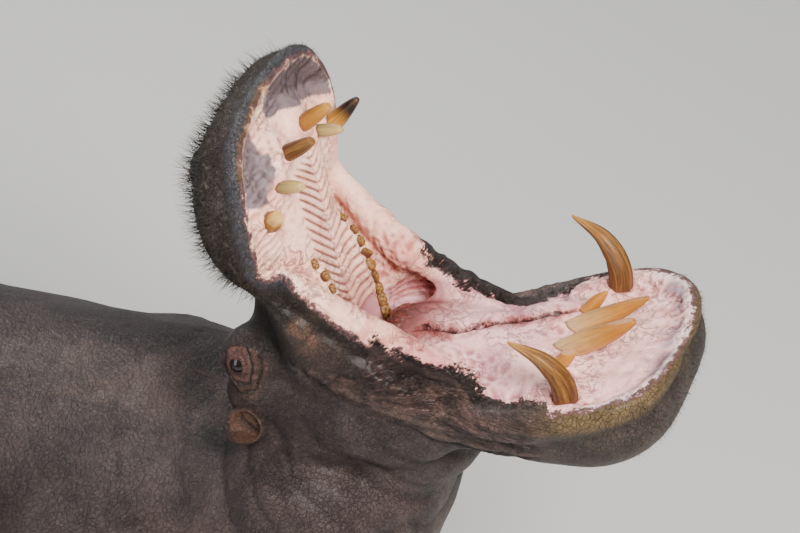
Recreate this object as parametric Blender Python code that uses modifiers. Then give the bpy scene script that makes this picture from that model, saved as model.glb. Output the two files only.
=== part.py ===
"""A life-size standing hippopotamus with its head thrown back and its mouth wide open.

+X runs forwards, +Y to the animal's left, +Z up; metres. The flesh is modelled whole from swept
forms, fused and smoothed as one body, and then parted with thin cuts into the named nodes.
"""
import math

import bmesh
import bpy
import numpy as np
from mathutils import Matrix, Vector

# Driving sizes
WITHERS_X = 0.60
FRONT_LEG_X = 0.70
HIND_LEG_X = -0.93
LEG_Y = 0.30
JAW_JOINT = Vector((1.27, 0.0, 1.66))     # the frame that both jaws are measured from
UPPER_JAW_PITCH = math.radians(106.9)     # the palate's line, turned back past upright
LOWER_JAW_PITCH = math.radians(0.0)
CUT = 0.0004                              # the gap between two nodes that meet
FUSE_VOXEL = 0.016
FUSE_SMOOTHING = 8
FLESH_TRIANGLES = 2900


def cranium_place():
    """Local x runs forwards along the palate, z towards the crown of the head."""
    return Matrix.Translation(JAW_JOINT) @ Matrix.Rotation(-UPPER_JAW_PITCH, 4, "Y")


def mandible_place():
    """Local x runs forwards along the lower jaw, z up out of it."""
    return Matrix.Translation(JAW_JOINT) @ Matrix.Rotation(-LOWER_JAW_PITCH, 4, "Y")


def through(knots, values, at):
    """A smooth curve through the values at the knots, read at the places in at."""
    knots = np.asarray(knots, float)
    values = np.asarray(values, float)
    slopes = np.gradient(values, knots, axis=0)
    at = np.clip(at, knots[0], knots[-1])
    k = np.clip(np.searchsorted(knots, at, side="right") - 1, 0, len(knots) - 2)
    span = knots[k + 1] - knots[k]
    t = (at - knots[k]) / span
    if values.ndim > 1:
        span, t = span[:, None], t[:, None]
    return (
        (2 * t**3 - 3 * t**2 + 1) * values[k]
        + (t**3 - 2 * t**2 + t) * span * slopes[k]
        + (3 * t**2 - 2 * t**3) * values[k + 1]
        + (t**3 - t**2) * span * slopes[k + 1]
    )


def ball(around, rings):
    """A small closed mesh to bend into a form, with each point's turn round it and way along."""
    form = bmesh.new()
    made = bmesh.ops.create_uvsphere(form, u_segments=around, v_segments=rings, radius=1.0)["verts"]
    unit = np.array([v.co for v in made])
    turn = np.arctan2(unit[:, 1], unit[:, 0])
    down = np.arccos(np.clip(-unit[:, 2], -1, 1)) / math.pi
    return form, made, turn, down


def add(flesh, form, made=(), points=(), place=None, flipped=False):
    """Sets the form's points, places it and adds it to flesh."""
    for vertex, point in zip(made, points):
        vertex.co = point
    if place is not None:
        bmesh.ops.transform(form, matrix=place, verts=form.verts)
    if flipped:
        bmesh.ops.reverse_faces(form, faces=form.faces)
    mesh = bpy.data.meshes.new("form")
    form.to_mesh(mesh)
    form.free()
    flesh.from_mesh(mesh)
    bpy.data.meshes.remove(mesh)


def swept(flesh, stations, place=None, squareness=2.2, caps=(0.12, 0.12), around=36, rings=36):
    """Adds a closed form to flesh, swept through stations of
    (x, y, z of the centre, half width, reach above, reach below), with rounded ends."""
    stations = np.array(stations, float)
    steps = np.linalg.norm(np.diff(stations[:, :3], axis=0), axis=1)
    knots = np.concatenate([[0.0], np.cumsum(steps)])
    length = knots[-1]
    form, made, turn, down = ball(around, rings)
    first, last = caps
    quarter = math.pi / 2
    into = np.clip(down / first, 0, 1)
    out = np.clip((1 - down) / last, 0, 1)
    fullness = np.sin(quarter * into) * np.sin(quarter * out)
    along = np.where(down < first, first * (1 - np.cos(quarter * into)), down)
    along = np.where(1 - down < last, 1 - last * (1 - np.cos(quarter * out)), along)
    at = along * length
    rows = through(knots, stations, at)
    small = 1e-3 * length
    ahead = through(knots, stations[:, :3], at + small) - through(knots, stations[:, :3], at - small)
    ahead[:, 1] = 0
    ahead /= np.linalg.norm(ahead, axis=1)[:, None]
    upward = np.stack([-ahead[:, 2], 0 * ahead[:, 1], ahead[:, 0]], axis=1)
    side = np.cos(turn)
    rise = np.sin(turn)
    power = 2 / squareness
    side = np.sign(side) * np.abs(side) ** power
    rise = np.sign(rise) * np.abs(rise) ** power
    reach = np.where(rise > 0, rows[:, 4], rows[:, 5])
    points = rows[:, :3] + upward * (rise * reach * fullness)[:, None]
    points[:, 1] += side * rows[:, 3] * fullness
    add(flesh, form, made, points, place)


def mass(flesh, centre, radii, place=None, pitch=0.0, yaw=0.0, roll=0.0):
    """Adds an ellipsoid of muscle or fat."""
    turned = (
        Matrix.Rotation(yaw, 4, "Z") @ Matrix.Rotation(-pitch, 4, "Y") @ Matrix.Rotation(roll, 4, "X")
    )
    matrix = Matrix.Translation(centre) @ turned @ Matrix.Diagonal((*radii, 1.0))
    if place is not None:
        matrix = place @ matrix
    form = bmesh.new()
    bmesh.ops.create_uvsphere(form, u_segments=28, v_segments=20, radius=1.0, matrix=matrix)
    add(flesh, form)


def tube(flesh, path, radii, place=None, around=16, rings=60, flatten=1.0):
    """Adds a thick cord that follows a path in space, such as a lip's rim."""
    path = np.array(path, float)
    steps = np.linalg.norm(np.diff(path, axis=0), axis=1)
    knots = np.concatenate([[0.0], np.cumsum(steps)])
    form, made, turn, down = ball(around, rings)
    at = down * knots[-1]
    centre = through(knots, path, at)
    radius = through(knots, np.array(radii, float), at) * np.sin(math.pi * down) ** 0.35
    small = 1e-3 * knots[-1]
    ahead = through(knots, path, at + small) - through(knots, path, at - small)
    ahead /= np.linalg.norm(ahead, axis=1)[:, None]
    across = np.cross(ahead, np.array([0.0, 0.0, 1.0]))
    across /= np.linalg.norm(across, axis=1)[:, None]
    upward = np.cross(across, ahead)
    points = (
        centre
        + across * (np.cos(turn) * radius)[:, None]
        + upward * (np.sin(turn) * radius * flatten)[:, None]
    )
    add(flesh, form, made, points, place)


def fan(flesh, edge, root, thickness, side, place=None, around=28, rings=36):
    """Adds a thick blade of flesh that spans from a root line out to a free edge."""
    edge, root = np.array(edge, float), np.array(root, float)
    thickness = np.array(thickness, float)
    steps = np.linalg.norm(np.diff(edge, axis=0), axis=1)
    knots = np.concatenate([[0.0], np.cumsum(steps)])
    form, made, turn, down = ball(around, rings)
    at = down * knots[-1]
    full = np.sin(math.pi * down) ** 0.45
    outer, inner = through(knots, edge, at), through(knots, root, at)
    reach = (outer - inner) / 2 * full[:, None]
    thick = through(knots, thickness, at) * full
    power = 2 / 2.4
    rise = np.sign(np.cos(turn)) * np.abs(np.cos(turn)) ** power
    wide = np.sign(np.sin(turn)) * np.abs(np.sin(turn)) ** power
    points = (outer + inner) / 2 + reach * rise[:, None]
    points[:, 1] += thick * wide
    points[:, 1] *= side
    add(flesh, form, made, points, place or Matrix.Translation(JAW_JOINT), flipped=side < 0)


def trunk(flesh):
    """The barrel of the body, from the rump to the chest."""
    # x, y, centre height, half width, reach above, reach below
    swept(
        flesh,
        [
            (-1.30, 0, 0.93, 0.16, 0.17, 0.22),
            (-1.22, 0, 0.93, 0.30, 0.27, 0.33),
            (-1.03, 0, 0.89, 0.42, 0.38, 0.42),
            (-0.65, 0, 0.86, 0.505, 0.440, 0.49),
            (-0.20, 0, 0.84, 0.550, 0.450, 0.51),
            (0.22, 0, 0.85, 0.535, 0.455, 0.50),
            (0.55, 0, 0.89, 0.48, 0.455, 0.46),
            (0.80, 0, 0.94, 0.42, 0.40, 0.41),
            (1.02, 0, 0.98, 0.33, 0.29, 0.32),
        ],
        squareness=2.3,
        caps=(0.10, 0.10),
        around=56,
        rings=56,
    )
    for side in (-1, 1):
        mass(flesh, (-0.96, side * 0.265, 0.86), (0.30, 0.215, 0.38))      # haunch
        mass(flesh, (0.66, side * 0.300, 0.89), (0.25, 0.19, 0.38))        # shoulder


def neck(flesh):
    """A short, very thick neck that rises steeply to the thrown-back head."""
    swept(
        flesh,
        [
            (0.42, 0, 0.95, 0.45, 0.40, 0.41),
            (0.72, 0, 1.03, 0.43, 0.34, 0.42),
            (0.93, 0, 1.12, 0.40, 0.26, 0.38),
            (1.06, 0, 1.24, 0.365, 0.185, 0.33),
            (1.12, 0, 1.37, 0.325, 0.140, 0.29),
            (1.16, 0, 1.49, 0.265, 0.130, 0.23),
        ],
        squareness=2.2,
        around=44,
        rings=44,
    )
    mass(flesh, (1.27, 0, 1.42), (0.19, 0.20, 0.15))                       # throat
    mass(flesh, (1.01, 0, 1.33), (0.13, 0.22, 0.09), pitch=math.radians(40))   # nape


def front_leg(flesh, side):
    y = side * LEG_Y
    swept(
        flesh,
        [
            (FRONT_LEG_X - 0.04, y * 0.98, 1.06, 0.18, 0.20, 0.24),
            (FRONT_LEG_X - 0.01, y * 1.06, 0.80, 0.200, 0.23, 0.24),
            (FRONT_LEG_X + 0.00, y * 1.06, 0.56, 0.180, 0.18, 0.19),
            (FRONT_LEG_X + 0.01, y * 1.04, 0.36, 0.140, 0.135, 0.145),
            (FRONT_LEG_X + 0.01, y * 1.04, 0.21, 0.126, 0.118, 0.128),
            (FRONT_LEG_X + 0.025, y * 1.04, 0.10, 0.140, 0.138, 0.144),
            (FRONT_LEG_X + 0.03, y * 1.04, 0.00, 0.152, 0.155, 0.152),
        ],
        squareness=2.2,
        caps=(0.1, 0.02),
        around=36,
        rings=40,
    )
    toes(flesh, FRONT_LEG_X + 0.03, y * 1.04)


def hind_leg(flesh, side):
    y = side * LEG_Y
    swept(
        flesh,
        [
            (HIND_LEG_X + 0.06, y * 0.90, 1.00, 0.18, 0.28, 0.26),
            (HIND_LEG_X + 0.04, y * 1.02, 0.78, 0.225, 0.29, 0.29),
            (HIND_LEG_X + 0.00, y * 1.06, 0.56, 0.190, 0.22, 0.22),
            (HIND_LEG_X - 0.055, y * 1.04, 0.38, 0.136, 0.140, 0.150),
            (HIND_LEG_X - 0.045, y * 1.02, 0.22, 0.120, 0.120, 0.124),
            (HIND_LEG_X - 0.005, y * 1.02, 0.10, 0.135, 0.135, 0.137),
            (HIND_LEG_X + 0.005, y * 1.02, 0.00, 0.146, 0.150, 0.144),
        ],
        squareness=2.2,
        caps=(0.1, 0.02),
        around=36,
        rings=40,
    )
    toes(flesh, HIND_LEG_X + 0.005, y * 1.02)


TOE_TURNS = [math.radians(a) for a in (-66, -22, 22, 66)]


def toes(flesh, x, y):
    """Four broad toes spread round the front of a foot."""
    for turn in TOE_TURNS:
        centre = (x + 0.120 * math.cos(turn), y + 0.118 * math.sin(turn), 0.040)
        mass(flesh, centre, (0.086, 0.056, 0.062), yaw=turn, pitch=math.radians(-12))


def cranium(flesh):
    """The skull's soft outline: occiput, forehead, narrow snout and palate."""
    place = cranium_place()
    # along the palate, across, centre height, half width, reach to the crown, reach to the palate
    swept(
        flesh,
        [
            (-0.27, 0, 0.12, 0.165, 0.14, 0.12),
            (-0.16, 0, 0.14, 0.205, 0.160, 0.13),
            (-0.05, 0, 0.155, 0.200, 0.145, 0.085),
            (0.06, 0, 0.180, 0.165, 0.105, 0.092),
            (0.15, 0, 0.180, 0.130, 0.072, 0.092),
            (0.25, 0, 0.185, 0.130, 0.070, 0.095),
            (0.34, 0, 0.190, 0.140, 0.080, 0.100),
            (0.43, 0, 0.180, 0.145, 0.080, 0.090),
            (0.49, 0, 0.165, 0.130, 0.060, 0.060),
        ],
        place,
        squareness=2.8,
        caps=(0.08, 0.08),
        around=44,
        rings=48,
    )
    # the muzzle, broad and blunt, with the upper lip along its lower edge
    swept(
        flesh,
        [
            (0.175, 0, 0.195, 0.120, 0.055, 0.055),
            (0.215, 0, 0.203, 0.178, 0.064, 0.066),
            (0.270, 0, 0.208, 0.214, 0.070, 0.071),
            (0.340, 0, 0.207, 0.236, 0.068, 0.074),
            (0.410, 0, 0.202, 0.240, 0.066, 0.076),
            (0.470, 0, 0.192, 0.228, 0.062, 0.069),
            (0.520, 0, 0.178, 0.200, 0.050, 0.058),
            (0.566, 0, 0.160, 0.155, 0.042, 0.038),
        ],
        place,
        squareness=2.9,
        caps=(0.06, 0.05),
        around=48,
        rings=48,
    )
    for side in (-1, 1):
        mass(flesh, (0.430, side * 0.092, 0.246), (0.070, 0.050, 0.034), place)      # nostril hump
        mass(flesh, (0.018, side * 0.132, 0.268), (0.074, 0.064, 0.070), place)      # orbit
        mass(flesh, (-0.110, side * 0.145, 0.245), (0.075, 0.058, 0.068), place)     # ear base
        mass(flesh, (0.345, side * 0.160, 0.130), (0.075, 0.044, 0.032), place)      # tusk socket
        mass(flesh, (0.430, side * 0.060, 0.118), (0.070, 0.055, 0.030), place)      # incisor gum
        rim = [
            (0.222, side * 0.190, 0.178),
            (0.290, side * 0.222, 0.157),
            (0.380, side * 0.236, 0.141),
            (0.465, side * 0.226, 0.135),
            (0.530, side * 0.184, 0.134),
            (0.558, side * 0.100, 0.136),
            (0.564, side * -0.010, 0.137),
        ]
        tube(flesh, rim, [0.018, 0.025, 0.027, 0.026, 0.025, 0.025, 0.025], place, flatten=1.2)
        molars = [(-0.045, side * 0.082, 0.098), (0.08, side * 0.080, 0.088), (0.20, side * 0.076, 0.092)]
        tube(flesh, molars, [0.020, 0.022, 0.018], place)


def mandible(flesh):
    """The lower jaw: flared angles, a deep chin and a broad spade-shaped front."""
    place = mandible_place()
    swept(
        flesh,
        [
            (-0.10, 0, -0.10, 0.16, 0.08, 0.09),
            (0.02, 0, -0.09, 0.170, 0.08, 0.12),
            (0.14, 0, -0.075, 0.175, 0.075, 0.130),
            (0.26, 0, -0.055, 0.198, 0.068, 0.125),
            (0.38, 0, -0.025, 0.230, 0.062, 0.125),
            (0.48, 0, 0.005, 0.236, 0.055, 0.120),
            (0.545, 0, 0.035, 0.212, 0.045, 0.098),
            (0.594, 0, 0.062, 0.168, 0.036, 0.060),
        ],
        place,
        squareness=3.0,
        caps=(0.10, 0.04),
        around=48,
        rings=48,
    )
    for side in (-1, 1):
        rim = [
            (0.110, side * 0.168, -0.055),
            (0.200, side * 0.194, -0.048),
            (0.300, side * 0.218, -0.020),
            (0.400, side * 0.232, 0.020),
            (0.490, side * 0.222, 0.056),
            (0.551, side * 0.174, 0.078),
            (0.582, side * 0.092, 0.088),
            (0.589, side * -0.010, 0.090),
        ]
        radii = [0.026, 0.030, 0.032, 0.030, 0.027, 0.026, 0.025, 0.025]
        tube(flesh, rim, radii, place, flatten=1.2)
        mass(flesh, (0.395, side * 0.165, 0.026), (0.090, 0.062, 0.030), place)      # tusk socket
        mass(flesh, (0.345, side * 0.055, 0.024), (0.110, 0.080, 0.030), place)      # incisor gum
        molars = [(0.00, side * 0.090, -0.012), (0.12, side * 0.088, 0.004), (0.25, side * 0.086, 0.018)]
        tube(flesh, molars, [0.020, 0.022, 0.018], place)


def cheek(flesh, side):
    """The stretched corner of the mouth, a thick fan of skin between the two jaws, over the
    chewing muscle. Its free edge runs from the upper lip's end to the lower lip's start."""
    # forwards, outwards, up from the jaw joint
    edge = [
        (-0.255, 0.200, 0.225),
        (-0.205, 0.205, 0.182),
        (-0.140, 0.192, 0.124),
        (-0.052, 0.165, 0.056),
        (0.050, 0.158, 0.000),
        (0.137, 0.168, -0.018),
        (0.225, 0.198, -0.028),
        (0.290, 0.215, -0.015),
    ]
    root = [
        (-0.270, 0.140, 0.170),
        (-0.240, 0.140, 0.110),
        (-0.205, 0.142, 0.020),
        (-0.165, 0.145, -0.090),
        (-0.080, 0.145, -0.165),
        (0.030, 0.145, -0.185),
        (0.150, 0.150, -0.165),
        (0.240, 0.160, -0.130),
    ]
    thickness = [0.024, 0.036, 0.046, 0.056, 0.060, 0.055, 0.042, 0.030]
    fan(flesh, edge, root, thickness, side)
    # the thick roll along the free edge
    roll = [
        (-0.235, 0.196, 0.262),
        (-0.210, 0.184, 0.222),
        (-0.175, 0.168, 0.182),
        (-0.100, 0.150, 0.118),
        (-0.010, 0.133, 0.060),
        (0.070, 0.128, 0.030),
        (0.150, 0.134, 0.010),
        (0.215, 0.150, 0.000),
    ]
    rolled = [JAW_JOINT + Vector((x, side * y, z)) for x, y, z in roll]
    tube(flesh, rolled, [0.020, 0.026, 0.030, 0.034, 0.038, 0.036, 0.030, 0.020])
    # forwards, outwards, up from the jaw joint; half width, reach forwards, reach back
    muscle = [
        (-0.330, 0.120, -0.160, 0.055, 0.060, 0.06),
        (-0.250, 0.130, -0.160, 0.066, 0.100, 0.08),
        (-0.150, 0.145, -0.160, 0.074, 0.120, 0.09),
        (-0.030, 0.150, -0.160, 0.076, 0.110, 0.09),
        (0.080, 0.140, -0.140, 0.064, 0.080, 0.09),
        (0.170, 0.120, -0.115, 0.050, 0.060, 0.07),
    ]
    rows = [(JAW_JOINT.x + x, side * y, JAW_JOINT.z + z, *rest) for x, y, z, *rest in muscle]
    swept(flesh, rows, squareness=2.3, caps=(0.12, 0.12))


def flesh_object():
    """All the forms, fused into one smooth body."""
    flesh = bmesh.new()
    trunk(flesh)
    neck(flesh)
    cranium(flesh)
    mandible(flesh)
    for side in (-1, 1):
        front_leg(flesh, side)
        hind_leg(flesh, side)
        cheek(flesh, side)
    mesh = bpy.data.meshes.new("flesh")
    flesh.to_mesh(mesh)
    flesh.free()
    body = bpy.data.objects.new("flesh", mesh)
    bpy.context.scene.collection.objects.link(body)
    return body


def throat():
    """The hollows to cut: the slot of the gullet behind the tongue, and a pit on each side of it."""
    slot = (cranium_place(), (-0.020, 0.0, 0.055), (0.100, 0.115, 0.030))
    pits = [(mandible_place(), (0.005, side * 0.112, -0.020), (0.050, 0.030, 0.070)) for side in (-1, 1)]
    return [
        solid("hollow", lambda form: mass(form, centre, radii, place))
        for place, centre, radii in [slot] + pits
    ]


def remeshed(body, voxel):
    """Makes one even, closed mesh of whatever forms the body holds."""
    remesh = body.modifiers.new("fuse", "REMESH")
    remesh.mode = "VOXEL"
    remesh.voxel_size = voxel
    settle(body)


def fuse(body, voxel=FUSE_VOXEL, smoothing=FUSE_SMOOTHING):
    remeshed(body, voxel)
    for hollow in throat():
        boolean(body, hollow, "DIFFERENCE")
        bpy.data.objects.remove(hollow)
    remeshed(body, voxel)
    # the head keeps its edges, and the feet; the body's forms melt into each other
    at = np.empty(len(body.data.vertices) * 3)
    body.data.vertices.foreach_get("co", at)
    x, _, z = at.reshape(-1, 3).T
    body_share = np.clip((1.62 - z - 0.5 * (x - 0.9).clip(0, 9)) / 0.18, 0, 1)
    body_share *= np.clip((z - 0.10) / 0.20, 0, 1) * np.clip((1.30 - x) / 0.2, 0, 1)
    group = body.vertex_groups.new(name="melt")
    for index in np.nonzero(body_share > 0)[0]:
        group.add([int(index)], float(body_share[index]), "REPLACE")
    melt = body.modifiers.new("melt", "SMOOTH")
    melt.factor = 0.5
    melt.iterations = int(60 * (0.016 / voxel) ** 2 * 0.5)
    melt.vertex_group = "melt"
    smooth = body.modifiers.new("smooth", "SMOOTH")
    smooth.factor = 0.5
    smooth.iterations = smoothing
    settle(body)
    body.vertex_groups.clear()
    return body


def settle(body):
    """Makes the modifiers' result the object's own mesh."""
    graph = bpy.context.evaluated_depsgraph_get()
    mesh = bpy.data.meshes.new_from_object(body.evaluated_get(graph))
    body.modifiers.clear()
    body.data = mesh


def clear_scene():
    for thing in list(bpy.data.objects):
        bpy.data.objects.remove(thing)


def material(name, colour, roughness):
    made = bpy.data.materials.new(name)
    made.use_nodes = True
    surface = made.node_tree.nodes["Principled BSDF"]
    surface.inputs["Base Color"].default_value = (*colour, 1.0)
    surface.inputs["Roughness"].default_value = roughness
    made.diffuse_color = (*colour, 1.0)
    return made


def solid(name, build):
    """A new object holding the closed form that build adds to an empty mesh."""
    form = bmesh.new()
    build(form)
    bmesh.ops.recalc_face_normals(form, faces=form.faces)
    bmesh.ops.triangulate(form, faces=form.faces)
    mesh = bpy.data.meshes.new(name)
    form.to_mesh(mesh)
    form.free()
    made = bpy.data.objects.new(name, mesh)
    bpy.context.scene.collection.objects.link(made)
    return made


def swollen(thing, by):
    """A copy of thing, grown outwards by a hair, to cut the gap between it and its neighbour."""
    mesh = thing.data.copy()
    form = bmesh.new()
    form.from_mesh(mesh)
    form.normal_update()
    grown = [v.co + v.normal * by * v.calc_shell_factor() for v in form.verts]
    for vertex, place in zip(form.verts, grown):
        vertex.co = place
    form.to_mesh(mesh)
    form.free()
    made = bpy.data.objects.new(thing.name + ".cut", mesh)
    bpy.context.scene.collection.objects.link(made)
    return made


def boolean(body, tool, operation):
    step = body.modifiers.new(operation, "BOOLEAN")
    step.operation = operation
    step.solver = "EXACT"
    step.object = tool
    settle(body)
    return body


def copy_of(thing, name):
    made = bpy.data.objects.new(name, thing.data.copy())
    bpy.context.scene.collection.objects.link(made)
    return made


def part_off(body, name, region):
    """Takes the share of body inside region off as a new node and leaves a thin gap."""
    taken = boolean(copy_of(body, name), region, "INTERSECT")
    wider = swollen(region, CUT)
    boolean(body, wider, "DIFFERENCE")
    bpy.data.objects.remove(wider)
    return taken


def slab(name, centre, size, pitch):
    """A big box whose lower face is the cutting plane through centre."""
    place = (
        Matrix.Translation(centre)
        @ Matrix.Rotation(-pitch, 4, "Y")
        @ Matrix.Translation((0, 0, size / 2))
    )
    return solid(name, lambda form: bmesh.ops.create_cube(form, size=size, matrix=place))


def leg_region(x, side):
    y = side * LEG_Y * 1.04
    stations = [
        (x, y, -0.12, 0.24, 0.30, 0.27),
        (x, y, 0.15, 0.24, 0.30, 0.27),
        (x, y, 0.34, 0.23, 0.26, 0.26),
        (x, y, 0.48, 0.19, 0.22, 0.22),
        (x, y * 0.97, 0.58, 0.13, 0.17, 0.17),
    ]
    return solid(
        "region",
        lambda form: swept(form, stations, squareness=2.6, caps=(0.05, 0.22), around=12, rings=8),
    )


def seat(insert, body):
    """Cuts the seat for an insert (a tooth, an eye) out of the body that holds it."""
    wider = swollen(insert, CUT)
    boolean(body, wider, "DIFFERENCE")
    bpy.data.objects.remove(wider)


def tooth(name, path, radii, place, around=7, rings=6):
    made = solid(name, lambda form: tube(form, path, radii, place, around, rings))
    return made


# Teeth: (jaw, path from inside the gum to the tip, thickness along it) for the left side
TEETH = {
    "lower_tusk": (
        "lower",
        [
            (0.392, 0.176, -0.030),
            (0.408, 0.184, 0.035),
            (0.402, 0.194, 0.095),
            (0.366, 0.205, 0.148),
            (0.290, 0.213, 0.186),
        ],
        [0.026, 0.030, 0.027, 0.020, 0.005],
    ),
    "lower_incisor_inner": (
        "lower",
        [(0.300, 0.036, 0.010), (0.360, 0.036, 0.048), (0.440, 0.036, 0.108), (0.506, 0.036, 0.164)],
        [0.020, 0.022, 0.020, 0.009],
    ),
    "lower_incisor_outer": (
        "lower",
        [(0.340, 0.084, 0.015), (0.370, 0.085, 0.058), (0.388, 0.085, 0.088), (0.407, 0.085, 0.114)],
        [0.013, 0.014, 0.013, 0.008],
    ),
    "upper_tusk": (
        "upper",
        [(0.350, 0.160, 0.160), (0.360, 0.168, 0.120), (0.372, 0.174, 0.095), (0.388, 0.180, 0.072)],
        [0.018, 0.021, 0.020, 0.012],
    ),
    "upper_incisor_inner": (
        "upper",
        [(0.425, 0.050, 0.135), (0.448, 0.050, 0.095), (0.468, 0.050, 0.058), (0.490, 0.050, 0.018)],
        [0.016, 0.018, 0.017, 0.013],
    ),
    "upper_incisor_outer": (
        "upper",
        [(0.400, 0.098, 0.125), (0.400, 0.100, 0.085), (0.399, 0.100, 0.052), (0.398, 0.100, 0.020)],
        [0.012, 0.0135, 0.013, 0.011],
    ),
}


def teeth():
    made = {}
    for name, (jaw, path, radii) in TEETH.items():
        place = cranium_place() if jaw == "upper" else mandible_place()
        for word, side in (("left", 1), ("right", -1)):
            mirrored = [(x, side * y, z) for x, y, z in path]
            rings = 10 if name == "lower_tusk" else 5
            full = f"{name}_{word}"
            made[full] = (tooth(full, mirrored, radii, place, rings=rings), jaw)
    return made


# An ear's outline turned about its opening: how far out along the opening, how wide
EAR_PROFILE = [
    (-0.062, 0.000),
    (-0.060, 0.016),
    (-0.034, 0.023),
    (-0.012, 0.036),
    (0.014, 0.043),
    (0.036, 0.041),
    (0.041, 0.036),
    (0.030, 0.031),
    (0.012, 0.027),
    (-0.006, 0.016),
    (-0.012, 0.000),
]


def ear(form, side, around=10, rings=11):
    """A round, cupped ear that stands off the back corner of the head."""
    profile = np.array(EAR_PROFILE)
    cup, made, turn, down = ball(around, rings)
    steps = np.linalg.norm(np.diff(profile, axis=0), axis=1)
    knots = np.concatenate([[0.0], np.cumsum(steps)])
    rows = through(knots, profile, down * knots[-1])
    rows[:, 1] = np.maximum(rows[:, 1], 0)
    out, wide = rows.T
    opening = Vector((0.42, side * 0.86, -0.05)).normalized()
    up = Vector((0.10, side * 0.05, 1.0))
    up = (up - opening * up.dot(opening)).normalized()
    across = opening.cross(up)
    centre = Vector((-0.118, side * 0.176, 0.302))
    tall = np.where(np.sin(turn) > 0, 1.18, 0.95)
    lean = np.minimum(out, 0.0) * 0.55
    points = (
        np.array(centre)
        + np.outer(out, opening)
        + np.outer(wide * np.cos(turn) * 0.92, across)
        + np.outer(wide * np.sin(turn) * tall + lean, up)
    )
    add(form, cup, made, points, cranium_place())


EYE = (0.033, 0.168, 0.281)
EYE_RADIUS = 0.0245


def eye(form, side, around=10, rings=7):
    matrix = cranium_place() @ Matrix.Translation((EYE[0], side * EYE[1], EYE[2]))
    bmesh.ops.create_uvsphere(form, u_segments=around, v_segments=rings, radius=EYE_RADIUS, matrix=matrix)


def tongue(form):
    # along the lower jaw, across, centre height, half width, reach above, reach below
    stations = [
        (-0.040, 0, -0.030, 0.056, 0.036, 0.030),
        (0.050, 0, -0.006, 0.068, 0.038, 0.030),
        (0.150, 0, 0.006, 0.074, 0.036, 0.030),
        (0.235, 0, 0.014, 0.070, 0.030, 0.028),
        (0.290, 0, 0.022, 0.052, 0.022, 0.024),
    ]
    swept(form, stations, mandible_place(), caps=(0.2, 0.2), around=10, rings=8)


def tail(form):
    path = [
        (-1.22, 0, 1.04),
        (-1.33, 0, 1.00),
        (-1.395, 0, 0.90),
        (-1.420, 0, 0.76),
        (-1.425, 0, 0.62),
        (-1.418, 0, 0.52),
    ]
    tube(form, path, [0.050, 0.050, 0.040, 0.028, 0.019, 0.010], around=8, rings=14, flatten=0.8)


def toenail(form, x, y, turn):
    reach = 0.173
    place = (
        Matrix.Translation((x + reach * math.cos(turn), y + reach * 0.98 * math.sin(turn), 0.040))
        @ Matrix.Rotation(turn, 4, "Z")
        @ Matrix.Rotation(math.radians(-18), 4, "Y")
        @ Matrix.Diagonal((0.026, 0.038, 0.030, 1.0))
        @ Matrix.Rotation(math.radians(30), 4, "Z")
    )
    bmesh.ops.create_uvsphere(form, u_segments=6, v_segments=4, radius=1.0, matrix=place)


def flat_soles(body):
    """Trims the feet level at the floor, so each rests on a small flat."""
    form = bmesh.new()
    form.from_mesh(body.data)
    everything = form.verts[:] + form.edges[:] + form.faces[:]
    cut = bmesh.ops.bisect_plane(
        form, geom=everything, plane_co=(0, 0, 0), plane_no=(0, 0, 1), clear_inner=True
    )
    edges = [e for e in cut["geom_cut"] if isinstance(e, bmesh.types.BMEdge)]
    bmesh.ops.holes_fill(form, edges=edges, sides=0)
    bmesh.ops.triangulate(form, faces=form.faces)
    bmesh.ops.recalc_face_normals(form, faces=form.faces)
    form.to_mesh(body.data)
    form.free()


def thinned(body, triangles):
    count = sum(len(p.vertices) - 2 for p in body.data.polygons)
    fewer = body.modifiers.new("fewer", "DECIMATE")
    fewer.ratio = triangles / count
    settle(body)


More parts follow.
